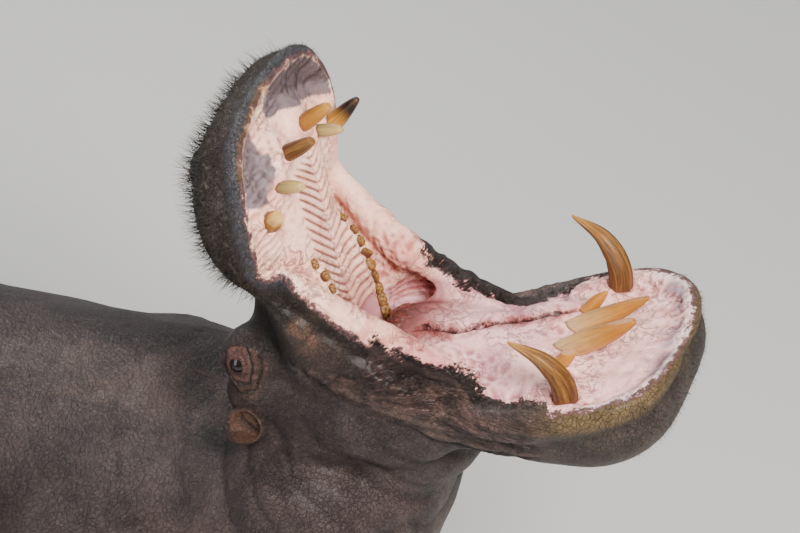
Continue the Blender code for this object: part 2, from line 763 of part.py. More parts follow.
def model():
    skin = material("hide", (0.16, 0.12, 0.11), 0.45)
    pink = material("mucosa", (0.72, 0.42, 0.40), 0.4)
    ivory = material("ivory", (0.62, 0.42, 0.18), 0.3)
    horn = material("nail", (0.10, 0.08, 0.07), 0.4)
    dark = material("eye", (0.03, 0.02, 0.015), 0.1)

    trunk_node = fuse(flesh_object())
    thinned(trunk_node, FLESH_TRIANGLES)
    flat_soles(trunk_node)
    trunk_node.name = "trunk"

    nodes = {"trunk": (trunk_node, skin)}
    legs = {}
    for word, side in (("left", 1), ("right", -1)):
        for end, x in (("front", FRONT_LEG_X), ("hind", HIND_LEG_X)):
            region = leg_region(x, side)
            name = f"{end}_leg_{word}"
            legs[end, side] = part_off(trunk_node, name, region)
            nodes[name] = (legs[end, side], skin)
            bpy.data.objects.remove(region)

    # neck from trunk, head from neck, lower jaw from head
    front = slab("region", Vector((0.80, 0, 1.10)), 4.0, math.radians(-42))
    neck_node = part_off(trunk_node, "neck", front)
    bpy.data.objects.remove(front)
    above = slab("region", JAW_JOINT + Vector((-0.10, 0, -0.258)), 3.0, math.radians(7))
    head_node = part_off(neck_node, "head", above)
    bpy.data.objects.remove(above)
    below = slab("region", JAW_JOINT, 3.0, math.radians(53 + 180))
    jaw_node = part_off(head_node, "lower_jaw", below)
    bpy.data.objects.remove(below)
    nodes.update(neck=(neck_node, skin), head=(head_node, skin), lower_jaw=(jaw_node, skin))

    for name, (made, jaw) in teeth().items():
        seat(made, head_node if jaw == "upper" else jaw_node)
        nodes[name] = (made, ivory)
    tongue_node = solid("tongue", tongue)
    seat(tongue_node, jaw_node)
    seat(tongue_node, head_node)
    nodes["tongue"] = (tongue_node, pink)
    for word, side in (("left", 1), ("right", -1)):
        ball = solid(f"eye_{word}", lambda form: eye(form, side))
        seat(ball, head_node)
        nodes[ball.name] = (ball, dark)
        cup = solid(f"ear_{word}", lambda form: ear(form, side))
        seat(cup, head_node)
        nodes[cup.name] = (cup, skin)
    tail_node = solid("tail", tail)
    seat(tail_node, trunk_node)
    nodes["tail"] = (tail_node, skin)
    feet = {"front": (FRONT_LEG_X + 0.03, 1.04), "hind": (HIND_LEG_X + 0.005, 1.02)}
    for (end, side), leg in legs.items():
        x, spread = feet[end]
        for index, turn in enumerate(TOE_TURNS):
            word = "left" if side > 0 else "right"
            name = f"{end}_toenail_{word}_{index + 1}"
            nail = solid(name, lambda form: toenail(form, x, side * LEG_Y * spread, turn))
            seat(nail, leg)
            nodes[name] = (nail, horn)
    for made, surface in nodes.values():
        made.data.materials.clear()
        made.data.materials.append(surface)
    return {name: made for name, (made, _) in nodes.items()}


def centre_on_floor(nodes):
    """Puts the middle of the model's footprint at the origin."""
    corners = np.array([v.co for made in nodes.values() for v in made.data.vertices])
    middle = (corners.min(axis=0) + corners.max(axis=0)) / 2
    for made in nodes.values():
        made.data.transform(Matrix.Translation((-middle[0], -middle[1], 0)))


def turn_shared_diagonals(form):
    """Where a seat's wall and the skin round it took the same diagonal, gives one of them the
    other diagonal, so that no edge has four faces."""
    form.normal_update()
    for edge in [e for e in form.edges if len(e.link_faces) == 4]:
        if not edge.is_valid or len(edge.link_faces) != 4:
            continue
        faces = list(edge.link_faces)
        pairs = [(a, b) for i, a in enumerate(faces) for b in faces[i + 1:]]
        pairs.sort(key=lambda pair: -pair[0].normal.dot(pair[1].normal))
        for a, b in pairs[:3]:
            tip_a = next(v for v in a.verts if v not in edge.verts)
            tip_b = next(v for v in b.verts if v not in edge.verts)
            taken = form.edges.get((tip_a, tip_b))
            first, second = edge.verts
            towards = tip_b.co - tip_a.co
            one = towards.cross(first.co - tip_a.co)
            other = towards.cross(second.co - tip_a.co)
            if tip_a is tip_b or taken is not None or one.dot(other) >= 0:
                continue
            order = [v for v in a.verts]
            at = order.index(tip_a)
            start, end = order[(at + 1) % 3], order[(at + 2) % 3]
            form.faces.remove(a)
            form.faces.remove(b)
            form.faces.new((tip_a, start, tip_b))
            form.faces.new((tip_a, tip_b, end))
            form.normal_update()
            break


def tidy_nodes(nodes):
    """Triangulates each node and keeps its one closed body."""
    for made in nodes.values():
        form = bmesh.new()
        form.from_mesh(made.data)
        bmesh.ops.triangulate(form, faces=form.faces, ngon_method="EAR_CLIP")
        for _ in range(6):
            turn_shared_diagonals(form)
        islands = []
        unseen = set(form.verts)
        while unseen:
            seed = unseen.pop()
            island, stack = [seed], [seed]
            while stack:
                for edge in stack.pop().link_edges:
                    for vertex in edge.verts:
                        if vertex in unseen:
                            unseen.remove(vertex)
                            island.append(vertex)
                            stack.append(vertex)
            islands.append(island)
        islands.sort(key=len, reverse=True)
        crumbs = [v for island in islands[1:] for v in island]
        bmesh.ops.delete(form, geom=crumbs, context="VERTS")
        bmesh.ops.recalc_face_normals(form, faces=form.faces)
        if form.calc_volume(signed=True) < 0:
            bmesh.ops.reverse_faces(form, faces=form.faces)
        form.to_mesh(made.data)
        form.free()


if __name__ == "__main__":
    clear_scene()
    nodes = model()
    tidy_nodes(nodes)
    centre_on_floor(nodes)
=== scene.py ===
"""A life-size hippopotamus, standing, with its head thrown back and its mouth wide open.

Metres, +X forwards, +Y to the animal's left, +Z up. The forms are laid out in the maker's own
frame, whose jaw joint is at JAW_JOINT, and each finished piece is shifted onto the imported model.
"""
import math

import bmesh
import bpy
import numpy as np
from mathutils import Matrix, Vector, kdtree, noise


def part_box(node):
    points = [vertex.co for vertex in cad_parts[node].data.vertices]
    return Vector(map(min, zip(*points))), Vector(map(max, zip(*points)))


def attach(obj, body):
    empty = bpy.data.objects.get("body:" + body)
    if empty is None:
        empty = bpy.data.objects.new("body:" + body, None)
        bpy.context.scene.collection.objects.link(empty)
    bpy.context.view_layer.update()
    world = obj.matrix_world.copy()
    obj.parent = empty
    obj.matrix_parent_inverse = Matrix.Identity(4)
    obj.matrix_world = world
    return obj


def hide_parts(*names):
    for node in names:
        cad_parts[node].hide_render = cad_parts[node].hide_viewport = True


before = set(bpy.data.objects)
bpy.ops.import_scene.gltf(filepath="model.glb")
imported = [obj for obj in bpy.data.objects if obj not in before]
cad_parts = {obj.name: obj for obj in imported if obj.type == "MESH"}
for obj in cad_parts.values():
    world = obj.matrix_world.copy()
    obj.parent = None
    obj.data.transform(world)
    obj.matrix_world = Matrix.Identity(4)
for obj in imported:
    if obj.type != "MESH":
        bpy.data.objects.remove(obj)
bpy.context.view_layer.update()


# ---------------------------------------------------------------------------------- the skull's set
# The two jaws are laid out from one joint: the palate is thrown back past upright and the lower
# jaw is level. The left eyeball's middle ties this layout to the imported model.
JAW_JOINT = Vector((1.27, 0.0, 1.66))
UPPER_JAW_PITCH = math.radians(106.9)
UPPER = Matrix.Translation(JAW_JOINT) @ Matrix.Rotation(-UPPER_JAW_PITCH, 4, "Y")
LOWER = Matrix.Translation(JAW_JOINT)
EYE = Vector((0.033, 0.168, 0.281))
low, high = (Vector(corner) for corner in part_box("eye_left"))
SET_DOWN = Matrix.Translation((low + high) / 2 - UPPER @ EYE)


# ------------------------------------------------------------------------------------- the viewpoint
# A long lens on the near side, from a boat's height above the head, looking across the open mouth.
LENS_FROM = 8.0                     # metres from the tusks to the lens
ACROSS = 1.584158                   # metres that the frame spans at that distance
turn, rise = math.radians(19.0), math.radians(38.0)
towards_lens = Vector(
    (math.sin(turn) * math.cos(rise), -math.cos(turn) * math.cos(rise), math.sin(rise))
)
rightwards = Vector((math.cos(turn), math.sin(turn), 0.0))
upwards = towards_lens.cross(rightwards)
between_tusks = SET_DOWN @ (JAW_JOINT + Vector((0.41, 0.0, 0.047)))
RIGHT_OF_MIDDLE, BELOW_MIDDLE = 0.3861, 0.1535      # where the tusks stand in the frame, in metres
aim = between_tusks - rightwards * RIGHT_OF_MIDDLE + upwards * BELOW_MIDDLE
lens = bpy.data.cameras.new("lens")
lens.sensor_width = 36.0
lens.lens = 36.0 * LENS_FROM / ACROSS
lens.clip_end = 60.0
viewpoint = bpy.data.objects.new("viewpoint", lens)
viewpoint.location = aim + towards_lens * LENS_FROM
viewpoint.rotation_mode = "QUATERNION"
viewpoint.rotation_quaternion = (-towards_lens).to_track_quat("-Z", "Y")
bpy.context.scene.collection.objects.link(viewpoint)
bpy.context.scene.camera = viewpoint


# ------------------------------------------------------------------------------------------ the body
# A heavy barrel on short legs: fat and muscle under hide up to five centimetres thick. Each mass is
# a ball of mesh bent round a path, and all of them are fused later into one skin.
def ball(around, rings):
    """A small closed mesh to bend into a form, with each point's turn round it and way along."""
    form = bmesh.new()
    made = bmesh.ops.create_uvsphere(form, u_segments=around, v_segments=rings, radius=1.0)["verts"]
    unit = np.array([v.co for v in made])
    turn = np.arctan2(unit[:, 1], unit[:, 0])
    down = np.arccos(np.clip(-unit[:, 2], -1, 1)) / math.pi
    return form, made, turn, down


def bend(made, points):
    for vertex, point in zip(made, points):
        vertex.co = point


def add(flesh, form, made=(), points=(), place=None, flipped=False):
    """Bends the form to its points, places it and adds it to flesh."""
    bend(made, points)
    if place is not None:
        bmesh.ops.transform(form, matrix=place, verts=form.verts)
    if flipped:
        bmesh.ops.reverse_faces(form, faces=form.faces)
    mesh = bpy.data.meshes.new("form")
    form.to_mesh(mesh)
    form.free()
    flesh.from_mesh(mesh)
    bpy.data.meshes.remove(mesh)


def piece_of(form, name):
    """A new object that takes over the form as its mesh."""
    mesh = bpy.data.meshes.new(name)
    form.to_mesh(mesh)
    form.free()
    made = bpy.data.objects.new(name, mesh)
    bpy.context.scene.collection.objects.link(made)
    return made


def steps_along(path):
    """The way along the path at each of its points, in metres."""
    steps = np.linalg.norm(np.diff(np.asarray(path, float)[:, :3], axis=0), axis=1)
    return np.concatenate([[0.0], np.cumsum(steps)])


def units(rows):
    return rows / np.linalg.norm(rows, axis=1)[:, None]


def through(knots, values, at):
    """A smooth curve through the values at the knots, read at the places in at."""
    knots = np.asarray(knots, float)
    values = np.asarray(values, float)
    slopes = np.gradient(values, knots, axis=0)
    at = np.clip(at, knots[0], knots[-1])
    k = np.clip(np.searchsorted(knots, at, side="right") - 1, 0, len(knots) - 2)
    span = knots[k + 1] - knots[k]
    t = (at - knots[k]) / span
    if values.ndim > 1:
        span, t = span[:, None], t[:, None]
    return (
        (2 * t**3 - 3 * t**2 + 1) * values[k]
        + (t**3 - 2 * t**2 + t) * span * slopes[k]
        + (3 * t**2 - 2 * t**3) * values[k + 1]
        + (t**3 - t**2) * span * slopes[k + 1]
    )


def heading(knots, path, at):
    """The path's direction at the places in at."""
    small = 1e-3 * knots[-1]
    return units(through(knots, path, at + small) - through(knots, path, at - small))


def squared(turned, squareness):
    """A sine or cosine filled out from a circle's towards a square's."""
    return np.sign(turned) * np.abs(turned) ** (2 / squareness)


def swept(flesh, stations, place=None, squareness=2.2, caps=(0.12, 0.12), around=36, rings=36):
    """Adds a closed form to flesh, swept through stations of
    (x, y, z of the centre, half width, reach above, reach below), with rounded ends."""
    stations = np.array(stations, float)
    knots = steps_along(stations)
    form, made, turn, down = ball(around, rings)
    first, last = caps
    quarter = math.pi / 2
    into = np.clip(down / first, 0, 1)
    out = np.clip((1 - down) / last, 0, 1)
    fullness = np.sin(quarter * into) * np.sin(quarter * out)
    along = np.where(down < first, first * (1 - np.cos(quarter * into)), down)
    along = np.where(1 - down < last, 1 - last * (1 - np.cos(quarter * out)), along)
    at = along * knots[-1]
    rows = through(knots, stations, at)
    ahead = heading(knots, stations[:, :3] * (1, 0, 1), at)
    upward = np.stack([-ahead[:, 2], 0 * ahead[:, 1], ahead[:, 0]], axis=1)
    side, rise = squared(np.cos(turn), squareness), squared(np.sin(turn), squareness)
    reach = np.where(rise > 0, rows[:, 4], rows[:, 5])
    points = rows[:, :3] + upward * (rise * reach * fullness)[:, None]
    points[:, 1] += side * rows[:, 3] * fullness
    add(flesh, form, made, points, place)


def mass(flesh, centre, radii, place=None, pitch=0.0, yaw=0.0):
    """Adds an ellipsoid of muscle or fat."""
    turned = Matrix.Rotation(yaw, 4, "Z") @ Matrix.Rotation(-pitch, 4, "Y")
    matrix = Matrix.Translation(centre) @ turned @ Matrix.Diagonal((*radii, 1.0))
    if place is not None:
        matrix = place @ matrix
    form = bmesh.new()
    bmesh.ops.create_uvsphere(form, u_segments=28, v_segments=20, radius=1.0, matrix=matrix)
    add(flesh, form)


flesh = bmesh.new()
# the barrel from the rump to the chest: x, y, centre height, half width, reach above, reach below
swept(
    flesh,
    [
        (-1.30, 0, 0.93, 0.16, 0.17, 0.22),
        (-1.22, 0, 0.93, 0.30, 0.27, 0.33),
        (-1.03, 0, 0.89, 0.42, 0.38, 0.42),
        (-0.65, 0, 0.86, 0.505, 0.440, 0.49),
        (-0.20, 0, 0.84, 0.550, 0.450, 0.51),
        (0.22, 0, 0.85, 0.535, 0.455, 0.50),
        (0.55, 0, 0.89, 0.48, 0.455, 0.46),
        (0.80, 0, 0.94, 0.42, 0.40, 0.41),
        (1.02, 0, 0.98, 0.33, 0.29, 0.32),
    ],
    squareness=2.3,
    caps=(0.10, 0.10),
    around=56,
    rings=56,
)
for side in (-1, 1):
    mass(flesh, (-0.96, side * 0.265, 0.86), (0.30, 0.215, 0.38))      # haunch
    mass(flesh, (0.66, side * 0.300, 0.89), (0.25, 0.19, 0.38))        # shoulder


# ------------------------------------------------------------------------------------------ the neck
# A short, very thick neck that rises steeply to the thrown-back head, with the throat's pouch in
# front and a roll of fat at the nape.
swept(
    flesh,
    [
        (0.42, 0, 0.95, 0.45, 0.40, 0.41),
        (0.72, 0, 1.03, 0.43, 0.34, 0.42),
        (0.93, 0, 1.12, 0.40, 0.26, 0.38),
        (1.06, 0, 1.24, 0.365, 0.185, 0.33),
        (1.12, 0, 1.37, 0.325, 0.140, 0.29),
        (1.16, 0, 1.49, 0.265, 0.130, 0.23),
    ],
    around=44,
    rings=44,
)
mass(flesh, (1.27, 0, 1.42), (0.19, 0.20, 0.15))
mass(flesh, (1.01, 0, 1.33), (0.13, 0.22, 0.09), pitch=math.radians(40))


# ------------------------------------------------------------------------------------------ the legs
# Four pillars that stand straight under the weight. Each ends in four broad toes, spread round the
# front of the foot, with a flat sole on the floor.
LEG_OUT = 0.30
TOE_TURNS = [math.radians(a) for a in (-66, -22, 22, 66)]
FEET = []                           # each sole's middle and its side
for side in (-1, 1):
    y = side * LEG_OUT
    swept(
        flesh,
        [
            (0.66, y * 0.98, 1.06, 0.18, 0.20, 0.24),
            (0.69, y * 1.06, 0.80, 0.200, 0.23, 0.24),
            (0.70, y * 1.06, 0.56, 0.180, 0.18, 0.19),
            (0.71, y * 1.04, 0.36, 0.140, 0.135, 0.145),
            (0.71, y * 1.04, 0.21, 0.126, 0.118, 0.128),
            (0.725, y * 1.04, 0.10, 0.140, 0.138, 0.144),
            (0.73, y * 1.04, 0.00, 0.152, 0.155, 0.152),
        ],
        caps=(0.1, 0.02),
    )
    swept(
        flesh,
        [
            (-0.87, y * 0.90, 1.00, 0.18, 0.28, 0.26),
            (-0.89, y * 1.02, 0.78, 0.225, 0.29, 0.29),
            (-0.93, y * 1.06, 0.56, 0.190, 0.22, 0.22),
            (-0.985, y * 1.04, 0.38, 0.136, 0.140, 0.150),
            (-0.975, y * 1.02, 0.22, 0.120, 0.120, 0.124),
            (-0.935, y * 1.02, 0.10, 0.135, 0.135, 0.137),
            (-0.925, y * 1.02, 0.00, 0.146, 0.150, 0.144),
        ],
        caps=(0.1, 0.02),
    )
    FEET += [(0.73, y * 1.04, side, "front"), (-0.925, y * 1.02, side, "hind")]
for x, y, side, _ in FEET:
    for toe_turn in TOE_TURNS:
        centre = (x + 0.120 * math.cos(toe_turn), y + 0.118 * math.sin(toe_turn), 0.040)
        mass(flesh, centre, (0.086, 0.056, 0.062), yaw=toe_turn, pitch=math.radians(-12))


# ------------------------------------------------------------------------------------------ the head
# The upper jaw: a narrow snout between the high eyes and a broad, blunt muzzle with a thick upper
# lip. Under the hide lie the palate, the tusks' sockets and the gums of the cheek teeth.
def tube(flesh, path, radii, place=None, around=16, rings=60, flatten=1.0):
    """Adds a thick cord that follows a path in space, such as a lip's rim."""
    path = np.array(path, float)
    knots = steps_along(path)
    form, made, turn, down = ball(around, rings)
    at = down * knots[-1]
    centre = through(knots, path, at)
    radius = through(knots, np.array(radii, float), at) * np.sin(math.pi * down) ** 0.35
    ahead = heading(knots, path, at)
    across = units(np.cross(ahead, np.array([0.0, 0.0, 1.0])))
    upward = np.cross(across, ahead)
    points = (
        centre
        + across * (np.cos(turn) * radius)[:, None]
        + upward * (np.sin(turn) * radius * flatten)[:, None]
    )
    add(flesh, form, made, points, place)


# along the palate, across, centre height, half width, reach to the crown, reach to the palate
swept(
    flesh,
    [
        (-0.27, 0, 0.12, 0.165, 0.14, 0.12),
        (-0.16, 0, 0.14, 0.205, 0.160, 0.13),
        (-0.05, 0, 0.155, 0.200, 0.145, 0.085),
        (0.06, 0, 0.180, 0.165, 0.105, 0.092),
        (0.15, 0, 0.180, 0.130, 0.072, 0.092),
        (0.25, 0, 0.185, 0.130, 0.070, 0.095),
        (0.34, 0, 0.190, 0.140, 0.080, 0.100),
        (0.43, 0, 0.180, 0.145, 0.080, 0.090),
        (0.49, 0, 0.165, 0.130, 0.060, 0.060),
    ],
    UPPER,
    squareness=2.8,
    caps=(0.08, 0.08),
    around=44,
    rings=48,
)
swept(
    flesh,
    [
        (0.175, 0, 0.195, 0.120, 0.055, 0.055),
        (0.215, 0, 0.203, 0.178, 0.064, 0.066),
        (0.270, 0, 0.208, 0.214, 0.070, 0.071),
        (0.340, 0, 0.207, 0.236, 0.068, 0.074),
        (0.410, 0, 0.202, 0.240, 0.066, 0.076),
        (0.470, 0, 0.192, 0.228, 0.062, 0.069),
        (0.520, 0, 0.178, 0.200, 0.050, 0.058),
        (0.566, 0, 0.160, 0.155, 0.042, 0.038),
    ],
    UPPER,
    squareness=2.9,
    caps=(0.06, 0.05),
    around=48,
    rings=48,
)
for side in (-1, 1):
    mass(flesh, (0.430, side * 0.092, 0.246), (0.070, 0.050, 0.034), UPPER)      # nostril hump
    mass(flesh, (0.018, side * 0.132, 0.268), (0.074, 0.064, 0.070), UPPER)      # orbit
    mass(flesh, (-0.110, side * 0.145, 0.245), (0.075, 0.058, 0.068), UPPER)     # ear base
    mass(flesh, (0.345, side * 0.160, 0.130), (0.075, 0.044, 0.032), UPPER)      # tusk socket
    mass(flesh, (0.430, side * 0.060, 0.118), (0.070, 0.055, 0.030), UPPER)      # incisor gum
    rim = [
        (0.222, side * 0.190, 0.178),
        (0.290, side * 0.222, 0.157),
        (0.380, side * 0.236, 0.141),
        (0.465, side * 0.226, 0.135),
        (0.530, side * 0.184, 0.134),
        (0.558, side * 0.100, 0.136),
        (0.564, side * -0.010, 0.137),
    ]
    tube(flesh, rim, [0.018, 0.025, 0.027, 0.026, 0.025, 0.025, 0.025], UPPER, flatten=1.2)
    gums = [(-0.045, side * 0.082, 0.098), (0.08, side * 0.080, 0.088), (0.20, side * 0.076, 0.092)]
    tube(flesh, gums, [0.020, 0.022, 0.018], UPPER)


# ------------------------------------------------------------------------------------- the lower jaw
# A deep, spade-shaped jaw with a rounded lower lip, the tusks' sockets at its corners, and the
# tongue lying along its floor.
swept(
    flesh,
    [
        (-0.10, 0, -0.10, 0.16, 0.08, 0.09),
        (0.02, 0, -0.09, 0.170, 0.08, 0.12),
        (0.14, 0, -0.075, 0.175, 0.075, 0.130),
        (0.26, 0, -0.055, 0.198, 0.068, 0.125),
        (0.38, 0, -0.025, 0.230, 0.062, 0.125),
        (0.48, 0, 0.005, 0.236, 0.055, 0.120),
        (0.545, 0, 0.035, 0.212, 0.045, 0.098),
        (0.594, 0, 0.062, 0.168, 0.036, 0.060),
    ],
    LOWER,
    squareness=3.0,
    caps=(0.10, 0.04),
    around=48,
    rings=48,
)
for side in (-1, 1):
    rim = [
        (0.110, side * 0.168, -0.055),
        (0.200, side * 0.194, -0.048),
        (0.300, side * 0.218, -0.020),
        (0.400, side * 0.232, 0.020),
        (0.490, side * 0.222, 0.056),
        (0.551, side * 0.174, 0.078),
        (0.582, side * 0.092, 0.088),
        (0.589, side * -0.010, 0.090),
    ]
    radii = [0.026, 0.030, 0.032, 0.030, 0.027, 0.026, 0.025, 0.025]
    tube(flesh, rim, radii, LOWER, flatten=1.2)
    mass(flesh, (0.395, side * 0.165, 0.026), (0.090, 0.062, 0.030), LOWER)      # tusk socket
    mass(flesh, (0.345, side * 0.055, 0.024), (0.110, 0.080, 0.030), LOWER)      # incisor gum
    gums = [(0.00, side * 0.090, -0.012), (0.12, side * 0.088, 0.004), (0.25, side * 0.086, 0.018)]
    tube(flesh, gums, [0.020, 0.022, 0.018], LOWER)
swept(
    flesh,
    [
        (-0.040, 0, -0.030, 0.056, 0.036, 0.030),
        (0.050, 0, -0.006, 0.068, 0.038, 0.030),
        (0.150, 0, 0.006, 0.074, 0.036, 0.030),
        (0.235, 0, 0.014, 0.070, 0.030, 0.028),
        (0.290, 0, 0.022, 0.052, 0.022, 0.024),
    ],
    LOWER,
    caps=(0.2, 0.2),
)


# ---------------------------------------------------------------------------------------- the cheeks
# The stretched corners of the mouth: thick fans of skin between the two jaws, each over the big
# chewing muscle.
def fan(flesh, edge, root, thickness, side, around=28, rings=36):
    """Adds a thick blade of flesh that spans from a root line out to a free edge."""
    edge, root = np.array(edge, float), np.array(root, float)
    thickness = np.array(thickness, float)
    knots = steps_along(edge)
    form, made, turn, down = ball(around, rings)
    at = down * knots[-1]
    full = np.sin(math.pi * down) ** 0.45
    outer, inner = through(knots, edge, at), through(knots, root, at)
    reach = (outer - inner) / 2 * full[:, None]
    thick = through(knots, thickness, at) * full
    rise, wide = squared(np.cos(turn), 2.4), squared(np.sin(turn), 2.4)
    points = (outer + inner) / 2 + reach * rise[:, None]
    points[:, 1] += thick * wide
    points[:, 1] *= side
    add(flesh, form, made, points, LOWER, flipped=side < 0)


# forwards, outwards, up from the jaw joint
cheek_edge = [
    (-0.255, 0.200, 0.225),
    (-0.205, 0.205, 0.182),
    (-0.140, 0.192, 0.124),
    (-0.052, 0.165, 0.056),
    (0.050, 0.158, 0.000),
    (0.137, 0.168, -0.018),
    (0.225, 0.198, -0.028),
    (0.290, 0.215, -0.015),
]
cheek_root = [
    (-0.270, 0.140, 0.170),
    (-0.240, 0.140, 0.110),
    (-0.205, 0.142, 0.020),
    (-0.165, 0.145, -0.090),
    (-0.080, 0.145, -0.165),
    (0.030, 0.145, -0.185),
    (0.150, 0.150, -0.165),
    (0.240, 0.160, -0.130),
]
# forwards, outwards, up from the jaw joint; half width, reach forwards, reach back
chewing_muscle = [
    (-0.330, 0.120, -0.160, 0.055, 0.060, 0.06),
    (-0.250, 0.130, -0.160, 0.066, 0.100, 0.08),
    (-0.150, 0.145, -0.160, 0.074, 0.120, 0.09),
    (-0.030, 0.150, -0.160, 0.076, 0.110, 0.09),
    (0.080, 0.140, -0.140, 0.064, 0.080, 0.09),
    (0.170, 0.120, -0.115, 0.050, 0.060, 0.07),
]
# the thick roll along the free edge
cheek_roll = [
    (-0.235, 0.196, 0.262),
    (-0.210, 0.184, 0.222),
    (-0.175, 0.168, 0.182),
    (-0.100, 0.150, 0.118),
    (-0.010, 0.133, 0.060),
    (0.070, 0.128, 0.030),
    (0.150, 0.134, 0.010),
    (0.215, 0.150, 0.000),
]
for side in (-1, 1):
    rolled = [JAW_JOINT + Vector((x, side * y, z)) for x, y, z in cheek_roll]
    tube(flesh, rolled, [0.020, 0.026, 0.030, 0.034, 0.038, 0.036, 0.030, 0.020])
    web_top = JAW_JOINT + Vector((-0.216, side * 0.178, 0.172))
    mass(flesh, web_top, (0.042, 0.030, 0.052))      # closes the web up to the end of the upper lip
    fan(flesh, cheek_edge, cheek_root, [0.024, 0.036, 0.046, 0.056, 0.060, 0.055, 0.042, 0.030], side)
    rows = [(JAW_JOINT.x + x, side * y, JAW_JOINT.z + z, *rest) for x, y, z, *rest in chewing_muscle]
    swept(flesh, rows, squareness=2.3)


# ------------------------------------------------------------------------------------------ the tail
# A short, thick tail, flattened towards its tip, that hangs over the rump.
tail_line = [
    (-1.22, 0, 1.04),
    (-1.33, 0, 1.00),
    (-1.395, 0, 0.90),
    (-1.420, 0, 0.76),
    (-1.425, 0, 0.62),
    (-1.418, 0, 0.52),
]
tube(flesh, tail_line, [0.050, 0.050, 0.040, 0.028, 0.019, 0.010], flatten=0.8)


# ------------------------------------------------------------------------------------------- the skin
# One seamless hide over all the forms. The forms are fused into a single surface, the body is left
# coarse, and the mouth's lining and the eyes get the fine mesh that their folds need.
FINE = 0.008                        # metres between the fused mesh's points
hide = piece_of(flesh, "hide")


def settle(thing):
    """Makes the modifiers' result the object's own mesh."""
    graph = bpy.context.evaluated_depsgraph_get()
    mesh = bpy.data.meshes.new_from_object(thing.evaluated_get(graph))
    thing.modifiers.clear()
    thing.data = mesh


def places(mesh):
    """The mesh's points, a row each."""
    flat = np.empty(len(mesh.vertices) * 3)
    mesh.vertices.foreach_get("co", flat)
    return flat.reshape(-1, 3)


def ramp(low, high, value):
    """0 at low, 1 at high, and a smooth turn between them; high may be the lower."""
    t = np.clip((value - low) / (high - low), 0, 1)
    return t * t * (3 - 2 * t)


def share_group(thing, name, share):
    group = thing.vertex_groups.new(name=name)
    for index in np.nonzero(share > 0)[0]:
        group.add([int(index)], float(share[index]), "REPLACE")


def fused(thing):
    """Makes one even, closed mesh of whatever forms the thing holds."""
    fuse = thing.modifiers.new("fuse", "REMESH")
    fuse.mode = "VOXEL"
    fuse.voxel_size = FINE
    settle(thing)


def joined(thing, other, operation, solver):
    """Cuts the other object from the thing, or grows it on, and does away with it."""
    cut = thing.modifiers.new("cut", "BOOLEAN")
    cut.operation, cut.solver, cut.object = operation, solver, other
    settle(thing)
    bpy.data.objects.remove(other)


def smoothed(thing, times, group=""):
    """Eases the thing's surface, at full strength or by a group's weights."""
    ease = thing.modifiers.new("ease", "SMOOTH")
    ease.factor, ease.iterations, ease.vertex_group = 0.5, times, group


def thinned(thing, ratio, group=None):
    """Keeps the ratio of the thing's triangles, spending fewer where the group is full."""
    thin = thing.modifiers.new("thin", "DECIMATE")
    thin.ratio = ratio
    if group:
        thin.vertex_group, thin.vertex_group_factor = group, 5.0
    settle(thing)
    thing.vertex_groups.clear()


fused(hide)
# the gullet's slot behind the tongue, and a pit on each side of it
HOLLOWS = [
    (UPPER, (-0.020, 0.0, 0.055), (0.100, 0.115, 0.030)),
    (LOWER, (0.005, -0.112, -0.020), (0.050, 0.030, 0.070)),
    (LOWER, (0.005, 0.112, -0.020), (0.050, 0.030, 0.070)),
]
for jaw, centre, radii in HOLLOWS:
    form = bmesh.new()
    mass(form, centre, radii, jaw)
    pit = piece_of(form, "hollow")
    joined(hide, pit, "DIFFERENCE", "MANIFOLD")
fused(hide)
x, _, z = places(hide.data).T
on_body = np.clip((1.62 - z - 0.5 * (x - 0.9).clip(0, 9)) / 0.18, 0, 1)
on_body *= np.clip((z - 0.10) / 0.20, 0, 1) * np.clip((1.30 - x) / 0.2, 0, 1)
share_group(hide, "melt", on_body)
smoothed(hide, 110, "melt")
smoothed(hide, 14)
settle(hide)
hide.vertex_groups.clear()
x, _, z = places(hide.data).T
share_group(hide, "coarse", ramp(1.55, 1.30, z + 0.35 * (x - 0.95).clip(0, 9)))
thinned(hide, 0.24, "coarse")


# the lip line, a closed loop where the hide turns into the mouth's lining
def across(points, place):
    """The points of the left side, and their mirror, as world positions."""
    return [[place @ Vector((x, side * y, z)) for x, y, z in points] for side in (1, -1)]


upper_rim = across(
    [
        (0.566, 0.010, 0.112),
        (0.560, 0.100, 0.111),
        (0.532, 0.186, 0.109),
        (0.466, 0.230, 0.108),
        (0.380, 0.241, 0.114),
        (0.290, 0.227, 0.130),
        (0.250, 0.208, 0.138),
    ],
    UPPER,
)
corner = across(
    [
        (-0.185, 0.190, 0.205),
        (-0.150, 0.178, 0.168),
        (-0.112, 0.172, 0.134),
        (-0.040, 0.158, 0.078),
        (0.050, 0.150, 0.040),
        (0.137, 0.158, 0.014),
    ],
    LOWER,
)
lower_rim = across(
    [
        (0.225, 0.192, 0.000),
        (0.300, 0.222, 0.012),
        (0.400, 0.236, 0.050),
        (0.486, 0.226, 0.083),
        (0.553, 0.178, 0.103),
        (0.585, 0.096, 0.113),
        (0.593, 0.010, 0.114),
    ],
    LOWER,
)
loop = upper_rim[0] + corner[0] + lower_rim[0]
loop += list(reversed(upper_rim[1] + corner[1] + lower_rim[1]))
loop = np.array([tuple(p) for p in loop + loop[:1]])
knots = steps_along(loop)
loop = through(knots, loop, np.linspace(0, knots[-1], 1500))


def tree_of(points):
    """A tree that finds the nearest of the points."""
    tree = kdtree.KDTree(len(points))
    for index, point in enumerate(points):
        tree.insert(point, index)
    tree.balance()
    return tree


def distance_to(tree, points, wanted):
    """Each wanted point's distance to the nearest of the tree's, and 9 for the rest."""
    away = np.full(len(points), 9.0)
    for index in np.nonzero(wanted)[0]:
        away[index] = tree.find(points[index])[2]
    return away


